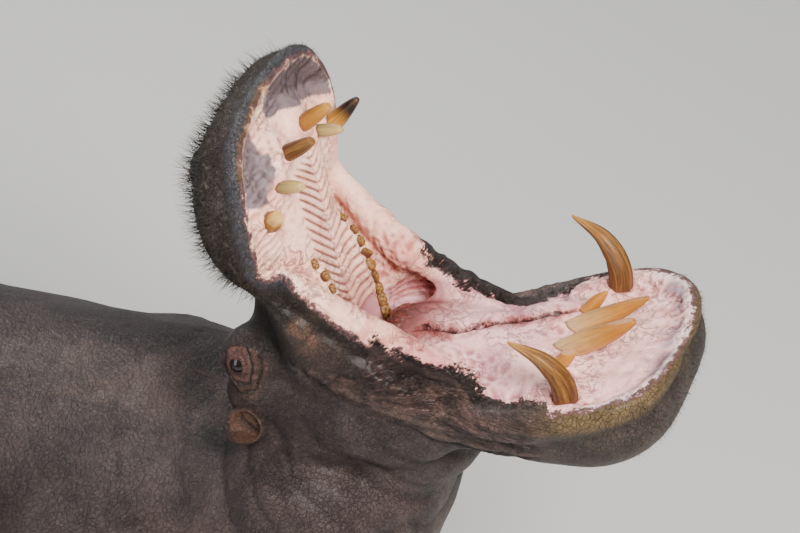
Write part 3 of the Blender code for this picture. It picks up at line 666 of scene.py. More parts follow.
def edge_ends(mesh):
    ends = np.empty(len(mesh.edges) * 2, int)
    mesh.edges.foreach_get("vertices", ends)
    return ends.reshape(-1, 2).T


def spread_over(mesh, seed, wall):
    """Floods outwards from the seed vertex over the mesh's edges, up to the wall."""
    a, b = edge_ends(mesh)
    wet = np.zeros(len(mesh.vertices), bool)
    wet[seed] = True
    while True:
        crossing = wet[a] != wet[b]
        new = np.where(wet[a[crossing]], b[crossing], a[crossing])
        new = new[~wall[new]]
        if len(new) == 0:
            return wet
        wet[new] = True


WALL = 0.009                        # metres from the lip line within which the flood stops


def lip_distance(mesh):
    """Metres from the lip line over the mesh, above 0 in the mouth and below 0 outside it."""
    at = places(mesh)
    near = (at[:, 2] > 1.45) & (at[:, 0] > 0.85)
    surface = tree_of(at[near])
    snapped = np.array([tuple(surface.find(p)[0]) for p in loop])
    away = distance_to(tree_of(snapped), at, near)
    palate = np.array(UPPER @ Vector((0.15, 0.0, 0.09)))
    seed = int(np.argmin(np.linalg.norm(at - palate, axis=1)))
    inside = spread_over(mesh, seed, away < WALL)
    if inside[~near].any():
        raise ValueError("the mouth's lining has spread past the lip line, over the hide")
    signed = np.where(inside, away, -away)
    signed[away < WALL + 0.0001] = 0.0
    return evened(mesh, signed, 3)


def evened(mesh, values, times):
    """Eases values, times over, towards the average of each vertex's neighbours."""
    a, b = edge_ends(mesh)
    count = np.bincount(a, minlength=len(values)) + np.bincount(b, minlength=len(values))
    for _ in range(times):
        total = np.bincount(a, values[b], len(values)) + np.bincount(b, values[a], len(values))
        values = 0.5 * values + 0.5 * total / np.maximum(count, 1)
    return values


EYES = [UPPER @ Vector((EYE.x, side * EYE.y, EYE.z)) for side in (1, -1)]


def split_finer(mesh, chosen):
    """Quarters the faces whose vertices are all chosen, and eases them once."""
    form = bmesh.new()
    form.from_mesh(mesh)
    form.verts.ensure_lookup_table()
    edges = [e for e in form.edges if chosen[e.verts[0].index] and chosen[e.verts[1].index]]
    inner = {v for e in edges for v in e.verts}
    split = bmesh.ops.subdivide_edges(form, edges=edges, cuts=1, use_grid_fill=True)
    new = {v for v in split["geom_inner"] if isinstance(v, bmesh.types.BMVert)}
    fine = [v for v in new | inner if v.is_valid]
    axes = dict(use_axis_x=True, use_axis_y=True, use_axis_z=True)
    bmesh.ops.smooth_vert(form, verts=fine, factor=0.5, **axes)
    form.to_mesh(mesh)
    form.free()


split_finer(hide.data, lip_distance(hide.data) > -0.012)
for reach in (0.075, 0.050):
    at = places(hide.data)
    near_eye = np.min([np.linalg.norm(at - np.array(eye), axis=1) for eye in EYES], axis=0)
    split_finer(hide.data, near_eye < reach)


# folds: how far each point stands out of, or sinks into, the eased surface
def grain(points, scale, seed=0.0, octaves=1):
    """Smooth noise from -1 to 1 at each point, about one swell to 1/scale metres."""
    total, weight, size = np.zeros(len(points)), 1.0, scale
    for octave in range(octaves):
        spots = points * size + seed + 17.0 * octave
        total += weight * np.fromiter((noise.noise(spot) for spot in spots), float, len(points))
        weight, size = weight * 0.5, size * 2.1
    return total


def local(points, place):
    """The points as seen from the place."""
    inverse = np.array(place.inverted())
    return points @ inverse[:3, :3].T + inverse[:3, 3]


def normals(mesh):
    flat = np.empty(len(mesh.vertices) * 3, np.float32)
    mesh.vertex_normals.foreach_get("vector", flat)
    return flat.reshape(-1, 3).astype(float)


def move(mesh, points):
    mesh.vertices.foreach_set("co", points.astype(np.float32).ravel())
    mesh.update()


def crests(turns):
    """1 at each whole turn and 0 halfway between, with sharp valleys."""
    return np.abs(np.cos(math.pi * turns))


def hump(way):
    """1 where the way is 0, dying away within about 2 of it."""
    return np.exp(-(way**2))


def fold_angle(points):
    """The turn, in degrees, about the corner of the mouth that the cheek's pleats fan out from."""
    forward, _, up = local(points, LOWER).T
    return np.degrees(np.arctan2(up + 0.05, forward + 0.10))


def pleats(points):
    """A drawn-out noise that runs along the cheek's pleats."""
    forward, aside, up = local(points, LOWER).T
    spots = [fold_angle(points) / 11.0, np.abs(aside) * 9.0, np.hypot(forward, up) * 5.0]
    return grain(np.stack(spots, axis=1), 1.0, 5.0, 2)


def web_folds(points):
    """1 on the crests of the rolls that cross the cheek's web, 0 between them."""
    return np.abs(np.cos(math.pi * (fold_angle(points) + 2.5 * grain(points, 9.0, 3.0)) / 7.0))


ROLL_SPACING = 0.0205


def palate_rolls(points):
    """A count that grows by one from roll to roll of the palate, how far each point is on the
    rolled part, and its way left of the seam down the middle, which strays left in front."""
    along, aside, _ = local(points, UPPER).T
    off_seam = aside - 0.030 * ramp(0.14, 0.34, along)
    half_width = 0.066 + 0.016 * ramp(0.15, 0.33, along)
    slant = np.where(off_seam > 0, 0.10, 0.95)
    beat = (along - slant * np.abs(off_seam) + 0.004 * grain(points, 9.0, 3.0)) / ROLL_SPACING
    share = ramp(half_width + 0.010, half_width - 0.003, np.abs(off_seam))
    return beat, share * ramp(-0.04, 0.0, along) * ramp(0.405, 0.375, along), off_seam


def beside_fold(points):
    """Each point's way left of the ragged fold that parts the tongue from the left gum, and the
    stretch of the floor of the mouth that the fold runs through."""
    forward, aside, up = local(points, LOWER).T
    knots = (0.03, 0.07, 0.15, 0.21, 0.27, 0.35)
    seam = through(knots, (-0.05, -0.04, -0.03, 0.01, 0.045, 0.083), forward)
    gap = 0.85 * (aside - seam + 0.007 * grain(points, 26.0, 5.0, 2))
    return gap, ramp(0.03, 0.07, forward) * ramp(0.37, 0.32, forward) * (np.abs(up) < 0.09)


# where each tooth leaves its gum: its jaw, a point at the gum, a point further out, its radius
ROOTS = [
    (LOWER, (0.408, 0.184, 0.035), (0.402, 0.194, 0.095), 0.030),
    (LOWER, (0.330, 0.036, 0.029), (0.440, 0.036, 0.108), 0.021),
    (LOWER, (0.360, 0.085, 0.045), (0.388, 0.085, 0.088), 0.014),
    (UPPER, (0.358, 0.167, 0.118), (0.372, 0.174, 0.095), 0.022),
    (UPPER, (0.442, 0.050, 0.106), (0.468, 0.050, 0.058), 0.018),
    (UPPER, (0.400, 0.100, 0.090), (0.399, 0.100, 0.052), 0.013),
]


def gum_collars(points):
    """How near each point is to the gum round a tooth, and that gum's rise along the tooth."""
    share, rise = np.zeros(len(points)), np.zeros_like(points)
    for place, root, ahead, thick in ROOTS:
        for hand in (1, -1):
            start = np.array(place @ Vector((root[0], hand * root[1], root[2])))
            axis = np.array(place @ Vector((ahead[0], hand * ahead[1], ahead[2]))) - start
            axis /= np.linalg.norm(axis)
            gap = points - start
            along = gap @ axis
            out = np.linalg.norm(gap - np.outer(along, axis), axis=1)
            collar = hump((out - thick - 0.004) / 0.009) * hump(along / 0.035)
            share = np.maximum(share, collar)
            rise += np.outer(collar * 0.006, axis)
    return share, rise


# the hide runs from the upper lip onto the muzzle without a groove
at = places(hide.data)
lip = lip_distance(hide.data)
u, y, w = local(at, UPPER).T
beyond = ramp(-0.020, -0.045, lip) * ramp(-0.21, -0.15, lip) * ramp(0.16, 0.24, u) * (at[:, 2] > 1.7)
eased = np.stack([evened(hide.data, at[:, k], 90) for k in range(3)], axis=1)
at = at + (eased - at) * beyond[:, None]
move(hide.data, at)
u, y, w = local(at, UPPER).T
m, _, n = local(at, LOWER).T
side = np.abs(y)
swing = np.degrees(np.arctan2(n, m))                 # 0 along the lower jaw, 107 along the palate
reach = np.hypot(m, n)
lined = ramp(0.0, 0.012, lip)
above = ramp(50, 62, swing)
headward = ramp(1.38, 1.50, at[:, 2] - 0.12 * (at[:, 0] - 1.2)) * ramp(0.85, 0.95, at[:, 0])
wander = grain(at, 9.0, 3.0)
ripple = grain(at, 30.0, 8.0)

# the palate's rolls
beat, on_palate, off_seam = palate_rolls(at)
on_palate = on_palate * lined * above
rise_by = on_palate * (0.0070 * crests(beat) ** 0.7 - 0.0034 - 0.0040 * hump(off_seam / 0.004))

# soft wrinkles inside the upper lip and cheeks
beside = lined * above * (1 - on_palate) * ramp(0.10, 0.14, u)
crimp = np.cos(2 * math.pi * (u + 0.5 * (w - 0.12) + 0.008 * wander) / 0.017)
rise_by += beside * 0.0022 * crimp * ramp(-0.2, 0.4, wander + 0.5 * ripple)
fold_at = fold_angle(at)
pleat = 1 - np.abs(pleats(at)) * 2.2
on_cheek = lined * ramp(0.098, 0.118, side) * ramp(-12, 6, fold_at) * ramp(112, 92, fold_at)
on_cheek *= ramp(0.34, 0.26, reach)
rise_by += on_cheek * 0.0042 * (pleat - 0.4)

# the lower jaw's lumpy gums and the tongue's groove
on_floor = lined * (1 - above) * ramp(0.06, 0.12, m)
lumps = grain(at, 24.0, 11.0, 2)
# sharp little valleys run between soft swells wherever the lining is loose
pushed = at + 0.006 * np.stack([wander, ripple, wander], axis=1)
crumple = 1 - 2.6 * np.abs(grain(pushed, 34.0, 51.0, 2))
on_tongue = (1 - above) * ramp(0.078, 0.064, side) * ramp(0.33, 0.28, m)
loose = lined * (1 - on_tongue) * (1 - on_palate) * ramp(0.004, 0.020, lip)
rise_by += loose * (0.0008 + 0.0034 * ramp(-0.2, 0.4, grain(at, 7.0, 61.0))) * (crumple - 0.25)
rise_by += on_floor * 0.0034 * lumps * (1 - ramp(0.07, 0.05, side) * ramp(0.32, 0.26, m))
gap, folded = beside_fold(at)
folded = folded * lined * (1 - above)
ledge = ramp(0.0, 0.006, gap) * ramp(0.055, 0.02, gap)
rise_by += folded * (0.008 * ledge - 0.011 * hump(gap / 0.0045))

# a crease parts the stretched web of the cheek from the cheek behind it
on_web = ramp(104, 92, swing) * ramp(0.40, 0.32, m) * ramp(0.100, 0.125, side) * (lip < -0.02)
rise_by -= on_web * 0.0045 * hump((lip + 0.125 + 0.006 * wander) / 0.006)
web_rolls = web_folds(at) ** 0.7
rise_by += on_web * ramp(-0.02, -0.04, lip) * ramp(-0.13, -0.11, lip) * 0.0042 * (web_rolls - 0.6)
rise_by += on_web * ramp(-0.15, -0.13, lip) * 0.0014 * (np.cos(2 * math.pi * lip / 0.011) + crumple)

# the hide's own folds: round the throat and nape, behind the jaw, over the ankles
throat = ramp(0.55, 0.80, at[:, 0]) * ramp(1.62, 1.45, at[:, 2]) * ramp(0.80, 1.05, at[:, 2])
sweep = (at[:, 2] * 0.80 + at[:, 0] * 0.60 + 0.030 * wander) / 0.085
rise_by += throat * (lip < -0.03) * 0.0065 * (crests(sweep) ** 0.7 - 0.65)
ankle = ramp(0.075, 0.12, at[:, 2]) * ramp(0.42, 0.30, at[:, 2]) * (at[:, 0] < 1.1)
rings = (at[:, 2] + 0.02 * wander) / 0.040
rise_by += ankle * 0.0030 * (crests(rings) ** 0.6 - 0.6)
skin = 1 - lined
rise_by += skin * (0.0016 * ripple + 0.0040 * wander * (1 - headward))

# nostrils: two slits that close under raised rims on top of the muzzle
for hand in (1, -1):
    du, dy = u - 0.452, y - hand * 0.088
    slant = math.radians(28) * hand
    long = du * math.cos(slant) + dy * math.sin(slant)
    short = -du * math.sin(slant) + dy * math.cos(slant)
    ring = np.hypot(long / 0.030, (short + 9.0 * long**2) / 0.012)
    on_top = (w > 0.22) * (lip < 0)
    rise_by += on_top * (-0.020 * ramp(1.05, 0.35, ring) + 0.007 * hump((ring - 1.7) / 0.7))

at = at + normals(hide.data) * rise_by[:, None] + gum_collars(at)[1]


# eyelids: heavy lids that meet round a small opening, with rings of folds behind them
FIRST_LID_FOLD, LID_FOLD_SPACING = 1.75, 1.1         # in rings round the opening


def eye_axes(hand):
    """An eye's outward direction, and the direction its slit lies in."""
    out = (UPPER.to_3x3() @ Vector((0.02, hand, 0.12))).normalized()
    along = (UPPER.to_3x3() @ Vector((1.0, 0.0, -0.25))).normalized()
    return out, (along - out * along.dot(out)).normalized()


def lid_folds(ring, points):
    """1 on the crests of the folds round an eye, 0 in the valleys."""
    waver = 0.18 * grain(points, 42.0, 71.0)
    return np.abs(np.cos(math.pi * (ring + waver - FIRST_LID_FOLD) / LID_FOLD_SPACING))


def lid_ring(points, eye, hand):
    """Each point's ring round an eye's opening, 1 at the lids' edge, and its way from the eye."""
    out, along = eye_axes(hand)
    gap = points - np.array(eye)
    ring = np.hypot(gap @ np.array(along) / 0.0205, gap @ np.array(out.cross(along)) / 0.0150)
    facing = (gap @ np.array(out) > 0) & (np.linalg.norm(gap, axis=1) < 0.09)
    return np.where(facing, ring, 9.0), gap


for eye, hand in zip(EYES, (1, -1)):
    ring, gap = lid_ring(at, eye, hand)
    far = np.linalg.norm(gap, axis=1)
    rim = 0.0262 + 0.0022 * hump((ring - 1.35) / 0.35) - far
    folds = 0.0042 * (lid_folds(ring, at) ** 0.7 - 0.6) * ramp(5.0, 3.4, ring)
    held = ramp(2.6, 1.5, ring)
    lids = rim * held + folds * ramp(1.3, 1.8, ring) * (1 - 0.3 * held)
    shift = np.where(ring < 1.0, 0.0205 - far, lids)
    at = at + gap * (shift * (ring < 5.2) / np.maximum(far, 1e-6))[:, None]
move(hide.data, at)


# ------------------------------------------------------------------------------------------ the ears
# Small shallow cups of gristle on stalks at the back corners of the head, orange-brown inside. They
# are grown onto the hide, and the join is eased into it.
EAR_PROFILE = np.array([
    (-0.062, 0.000), (-0.060, 0.016), (-0.034, 0.023), (-0.012, 0.036), (0.014, 0.043),
    (0.034, 0.0415), (0.0405, 0.038), (0.037, 0.0340), (0.027, 0.027), (0.020, 0.016), (0.017, 0.000),
])
EAR_MIDDLE = Vector((-0.118, 0.176, 0.302))


def ear_axes(side):
    """The ear's opening, its upward and its sideways direction, beside the head."""
    opening = Vector((0.42, side * 0.86, -0.05)).normalized()
    up = Vector((0.10, side * 0.05, 1.0))
    up = (up - opening * up.dot(opening)).normalized()
    return opening, up, opening.cross(up)


for side in (1, -1):
    cup, made, turn, down = ball(44, 56)
    knots = steps_along(np.pad(EAR_PROFILE, ((0, 0), (0, 1))))
    out, wide = through(knots, EAR_PROFILE, down * knots[-1]).T
    wide = np.maximum(wide, 0)
    opening, up, across_ear = ear_axes(side)
    tall = np.where(np.sin(turn) > 0, 1.18, 0.95)
    wavy = 1 + 0.045 * np.sin(3 * turn + side) * ramp(-0.02, 0.02, out)
    points = (
        np.array((EAR_MIDDLE.x, side * EAR_MIDDLE.y, EAR_MIDDLE.z))
        + np.outer(out, opening)
        + np.outer(wide * wavy * np.cos(turn) * 0.92, across_ear)
        + np.outer(wide * wavy * np.sin(turn) * tall + np.minimum(out, 0.0) * 0.55, up)
    )
    bend(made, points)
    bmesh.ops.transform(cup, matrix=UPPER, verts=cup.verts)
    bmesh.ops.recalc_face_normals(cup, faces=cup.faces)
    joined(hide, piece_of(cup, "ear cup"), "UNION", "EXACT")


def in_ear(points):
    """How far out along an ear's opening each point lies, and how far off its middle line."""
    along, off = np.full(len(points), -9.0), np.full(len(points), 9.0)
    inside = local(points, UPPER)
    for side in (1, -1):
        gap = inside - np.array((EAR_MIDDLE.x, side * EAR_MIDDLE.y, EAR_MIDDLE.z))
        opening, _, _ = ear_axes(side)
        out = gap @ np.array(opening)
        away = np.linalg.norm(gap - np.outer(out, opening), axis=1)
        near = np.linalg.norm(gap, axis=1) < 0.10
        along, off = np.where(near, out, along), np.where(near, away, off)
    return along, off


out, off = in_ear(places(hide.data))
share_group(hide, "join", ramp(-0.008, -0.026, out) * (out > -0.075) * (off < 0.07))
smoothed(hide, 6, "join")
settle(hide)
hide.vertex_groups.clear()

# the whole hide keeps its folds in fewer triangles
HIDE_TRIANGLES = 188000
count = sum(len(face.vertices) - 2 for face in hide.data.polygons)
thinned(hide, HIDE_TRIANGLES / count)


# ---------------------------------------------------------------------------------- the hide's colours
# Nearly bare skin: slate and brown above, pinkish in its folds. It turns through a mottled, blotched
# border into the mouth's pale lining, which reddens towards the throat.
def tone(red, green, blue):
    """A colour as the eye sees it, 0 to 255 each, in Blender's linear values."""
    return np.array([(max(c, 11) / 255 + 0.055) ** 2.4 / 1.055**2.4 for c in (red, green, blue)])


def painted(tint, coats):
    """The tint under coats of colour, each laid over the last by its share."""
    for colour, share in coats:
        tint = tint + (tone(*colour) - tint) * np.clip(share, 0, 1)[:, None]
    return tint


def keep(mesh, name, values, vector=False):
    """Stores one number, one colour or one vector for each vertex."""
    kind = "FLOAT" if values.ndim == 1 else "FLOAT_VECTOR" if vector else "FLOAT_COLOR"
    layer = mesh.attributes.new(name, kind, "POINT")
    if values.ndim == 1:
        layer.data.foreach_set("value", values.astype(np.float32))
    elif vector:
        layer.data.foreach_set("vector", values.astype(np.float32).ravel())
    else:
        full = np.concatenate([values, np.ones((len(values), 1))], axis=1)
        layer.data.foreach_set("color", full.astype(np.float32).ravel())


def spot(points, middle, reach):
    """1 at the middle, easing to 0 at reach."""
    return ramp(1.0, 0.35, np.linalg.norm((points - np.array(middle)) / np.array(reach), axis=1))


at = places(hide.data)
at[:, 2] = np.maximum(at[:, 2], 0.0003)              # soles flat on the floor
move(hide.data, at)
lip = lip_distance(hide.data)
upper, lower = local(at, UPPER), local(at, LOWER)
u, y, w = upper.T
m, _, n = lower.T
side = np.abs(y)
mirrored_up, mirrored_low = upper * (1, 0, 1), lower * (1, 0, 1)
mirrored_up[:, 1] = mirrored_low[:, 1] = side
swing = np.degrees(np.arctan2(n, m))
reach = np.hypot(m, n)
slow, mid, quick = grain(at, 4.0, 21.0), grain(at, 14.0, 33.0, 2), grain(at, 60.0, 40.0)
lid = np.min([lid_ring(at, eye, hand)[0] for eye, hand in zip(EYES, (1, -1))], axis=0)
on_muzzle = ramp(0.15, 0.24, u) * ramp(52, 66, swing)
on_jaw = ramp(0.20, 0.30, m) * ramp(48, 36, swing) * ramp(-0.22, -0.16, n)
on_head = ramp(1.40, 1.55, at[:, 2]) * (at[:, 0] > 0.9)

# hollows: how deep each point lies under the surface's average round it, which sets the painted shade in
# the creases
level = np.stack([evened(hide.data, at[:, k], 5) for k in range(3)], axis=1)
hollow = np.einsum("ij,ij->i", level - at, normals(hide.data))
crease = evened(hide.data, ramp(0.0, 0.0011, hollow), 1)

# outside: slate brown, paler below, darker on the head and feet, orange-brown in the ears
underneath = ramp(0.75, 0.45, at[:, 2]) * ramp(-1.35, -1.1, at[:, 0])
throat_pink = ramp(0.62, 0.95, at[:, 0]) * ramp(1.55, 1.3, at[:, 2]) * ramp(0.7, 1.0, at[:, 2])
muzzle_side = spot(mirrored_up, (0.42, 0.24, 0.16), (0.16, 0.09, 0.10))
# painted shade: a near-black pocket where the upper lip ends
recess_shade = spot(mirrored_up, (0.19, 0.203, 0.15), (0.085, 0.07, 0.085))
tan_patch = spot(mirrored_up, (0.120, 0.208, 0.098), (0.060, 0.07, 0.042))
# painted shade in the valleys between the folds round each eye
lid_valley_shade = ramp(0.45, 0.10, lid_folds(lid, at)) * (lid > 1.5) * ramp(4.8, 3.4, lid)
out, off = in_ear(at)
ear_lined = (out > -0.03) * (off < 0.0375) * ramp(0.044, 0.036, out)
ear_lined *= (off < 0.028 + 0.009 * ramp(0.010, 0.040, out)) * (out > -0.018)
ear_deep = ear_lined * ramp(0.030, 0.019, out) * ramp(-0.4, 0.5, mid + quick)
# the web of the cheek: purple-brown blotches on pink, out to the crease that ends it
on_web = ramp(104, 92, swing) * ramp(0.42, 0.34, m) * ramp(0.085, 0.105, side)
web_band = on_web * ramp(-0.140, -0.125, lip) * (lip < 0)
blotches = ramp(-0.30, 0.30, mid + 0.35 * quick + 0.5 * (0.6 - web_folds(at)))
# the lips' own bands, above and below; the upper lip's slate band is partly its dark skin, partly a
# painted sky reflection
upper_lip = ramp(66, 78, swing) * ramp(0.20, 0.27, u)
lower_lip = ramp(40, 30, swing) * ramp(0.30, 0.44, m)
in_front = ramp(0.47, 0.51, u) * ramp(0.06, 0.0, y)
hide_tint = painted(np.tile(tone(70, 60, 58), (len(at), 1)), [
    ((86, 68, 63), 0.5 + 0.5 * slow),
    ((122, 88, 80), 0.55 * underneath * (at[:, 2] > 0.34)),
    ((52, 44, 42), ramp(0.30, 0.12, at[:, 2]) * 0.7),
    ((112, 80, 73), 0.45 * throat_pink * ramp(-0.5, 0.6, slow + 0.6 * mid)),
    ((32, 24, 22), on_head * 0.85),
    ((84, 62, 54), on_head * ramp(0.1, 0.9, slow + 0.5 * mid) * 0.5),
    ((30, 25, 23), on_muzzle * 0.92),
    ((92, 82, 76), on_muzzle * muzzle_side * ramp(-0.6, 0.4, mid) * 0.8),
    ((20, 16, 10), on_muzzle * ramp(0.34, 0.24, u) * 0.8),
    ((78, 68, 62), on_jaw * 0.6),
    # painted shade, near black, in the recess where the upper lip ends
    ((10, 6, 5), recess_shade * 0.95),
    ((150, 108, 84), tan_patch * ramp(-0.7, 0.5, mid + quick) * 0.5),
    ((108, 70, 46), ramp(5.0, 3.4, lid) * 0.8),
    ((172, 108, 96), ramp(2.30, 2.00, lid) * 0.85),
    ((24, 15, 12), lid_valley_shade * 0.6),
    ((34, 20, 18), ramp(1.16, 1.0, lid) * 0.9),
    ((74, 50, 40), (out > -0.03) * (off < 0.06) * 0.7),
    ((178, 116, 78), ear_lined * 0.9),
    ((86, 48, 32), ear_deep * 0.8),
    ((122, 94, 86), web_band * 0.9),
    ((72, 57, 57), web_band * blotches * 0.88),
    # painted shade: a dark line along the crease that ends the web
    ((24, 17, 17), on_web * hump((lip + 0.128) / 0.008) * 0.8),
    ((58, 48, 50), on_web * ramp(-0.125, -0.145, lip) * 0.7),
    # partly the lip's dark skin, partly a painted reflection of the pale sky
    ((62, 64, 72), upper_lip * ramp(-0.050, -0.030, lip)),
    ((120, 92, 50), upper_lip * in_front * ramp(-0.010, -0.001, lip) * 0.7),
    ((124, 100, 62), lower_lip * ramp(-0.055, -0.030, lip) * 0.85),
    ((84, 68, 44), lower_lip * ramp(-0.055, -0.03, lip) * ramp(0.1, 0.7, mid) * 0.7),
])

# inside: pale pink, redder in the floor, the cheek's pleats and the throat, whose hole is painted near
# black with shade
in_floor = ramp(58, 44, swing)
reddened = in_floor * ramp(0.25, 0.95, mid + 0.5 * slow + 0.2 * quick)
tongue_top = in_floor * ramp(0.085, 0.065, side) * ramp(0.33, 0.27, m)
violet = in_floor * ramp(0.40, 0.26, m) * ramp(-0.3, 0.6, slow + mid)
gap, folded = beside_fold(at)
ragged = folded * in_floor * (lip > 0.02)
fold_lips = ragged * ramp(0.022, 0.006, np.abs(gap + 0.006)) * ramp(-0.5, 0.4, quick + mid)
fan_turn = fold_angle(at)
flush = ramp(0.100, 0.118, side) * ramp(0.26, 0.14, reach) * ramp(2, 16, fan_turn)
flush *= ramp(104, 84, fan_turn)
streaks = ramp(-0.35, 0.45, pleats(at))
to_gullet = np.linalg.norm(at - np.array(JAW_JOINT + Vector((0.0, 0.0, 0.02))), axis=1)
to_throat = np.linalg.norm(at - np.array(JAW_JOINT + Vector((-0.02, 0.0, 0.02))), axis=1)
gum_line = hump((side - 0.104) / 0.010) * ramp(60, 70, swing) * (u < 0.25) * (lip > 0.03)
# lilac patches beside the lip and over the front of the palate
lilac = spot(upper, (0.475, -0.150, 0.125), (0.110, 0.082, 0.080))
lilac += spot(upper, (0.525, 0.030, 0.120), (0.034, 0.075, 0.05))
from_front = u + 0.45 * y
lilac += ramp(0.500, 0.520, from_front) * ramp(0.02, 0.05, y) * (u > 0.36)
patches = ramp(0.30, 0.50, lilac + 0.30 * mid + 0.20 * quick) * (lip > 0.006) * upper_lip
cream = upper_lip * in_front * ramp(0.034, 0.014, lip + 0.010 * mid) * (1 - patches)
gold_edge = upper_lip * in_front * ramp(0.011, 0.004, lip + 0.004 * mid)
# dark rays over the far front of the upper lip
lip_turns = np.arctan2(y, u - 0.40)
swells = (noise.noise(Vector((turn * 14.0, 5.0, 9.0))) for turn in lip_turns)
rays = ramp(-0.2, 0.5, np.fromiter(swells, float, len(at)))
dark_rays = upper_lip * ramp(0.538, 0.552, from_front + 0.010 * rays) * ramp(0.0, 0.05, y)
dark_rays *= lip > -0.004
front = lower_lip * ramp(0.40, 0.50, m)
grey_band = front * ramp(0.060, 0.034, lip) * ramp(-0.10, 0.30, mid + 0.3 * slow)
lining_tint = painted(np.tile(tone(252, 200, 177), (len(at), 1)), [
    ((252, 216, 198), ramp(-0.2, 0.8, mid) * 0.7),
    ((246, 194, 190), in_floor * 0.8),
    ((204, 112, 108), reddened * 0.65),
    ((214, 160, 164), tongue_top * (0.55 + 0.3 * mid)),
    ((190, 136, 152), violet * 0.55),
    ((138, 72, 72), fold_lips),
    ((222, 138, 126), flush * (0.15 + 0.85 * streaks) * ramp(0.05, 0.12, reach) * 0.55),
    ((178, 82, 76), flush * streaks * ramp(0.17, 0.07, reach) * 0.6),
    ((120, 52, 50), ramp(0.155, 0.060, to_gullet) * 0.85),
    # painted shade: near black down the throat's hole
    ((40, 16, 16), ramp(0.090, 0.030, to_throat) * 0.9),
    ((222, 140, 132), gum_line * 0.6),
    ((92, 82, 92), patches * 0.92),
    ((226, 208, 178), cream * 0.7),
    ((178, 142, 84), gold_edge * 0.8),
    ((48, 36, 31), dark_rays * (0.55 + 0.45 * rays) * 0.95),
    ((216, 208, 204), front * ramp(0.040, 0.016, lip) * 0.45),
    ((134, 122, 134), grey_band * 0.85),
    ((232, 224, 214), front * ramp(0.022, 0.010, lip) * ramp(-0.1, 0.5, quick + mid) * 0.5),
    ((214, 118, 112), gum_collars(at)[0] * 0.45),
])

# the border: how much of the dark pigment reaches each point, 0 in the mouth and 1 outside
edge = 0.5 - lip / 0.030
dips_in = 0.040 * ramp(-0.04, 0.03, m) * ramp(0.30, 0.24, m)
near_web = 0.5 - (lip - 0.010 - 0.020 * ramp(0.05, 0.20, m)) / 0.050
far_web = 0.5 - (lip - 0.012 - dips_in) / 0.045
edge = np.where(on_web > 0.5, np.where(y < 0, near_web, far_web), edge)
jaw_blotch = spot(mirrored_low, (0.25, 0.205, 0.00), (0.16, 0.05, 0.06))
edge = edge + 0.40 * jaw_blotch * (lip > -0.02)
pigment = evened(hide.data, np.clip(edge, -0.6, 1.6), 2)
beat, on_palate, off_seam = palate_rolls(at)
rolled = on_palate * ramp(0.012, 0.030, lip) * ramp(50, 62, swing)
blotchy = np.clip(on_web * ramp(-0.11, -0.07, lip) + 0.2, 0, 1)
for name, values in {
    "hide_tint": hide_tint,
    "lining_tint": lining_tint,
    "pigment": pigment,
    "crease": crease,
    "roll_beat": beat,
    "lilac": np.maximum(patches, dark_rays),
    "lid_ring": lid,
    "fold_gap": np.clip(gap, -0.05, 0.05),
    "fold_run": evened(hide.data, ragged, 2),
    "rolled": rolled * ramp(0.002, 0.006, np.abs(off_seam)),
    "web_way": np.stack([fan_turn * 0.22, lip * 9.0, side * 6.0], axis=1),
    "blotchy": evened(hide.data, blotchy, 4),
    "whiskery": on_muzzle * (lip < -0.02) * ramp(-0.02, -0.05, lip),
    "wetness": evened(hide.data, np.clip(0.35 + 0.65 * on_head, 0, 1), 2),
}.items():
    keep(hide.data, name, values)
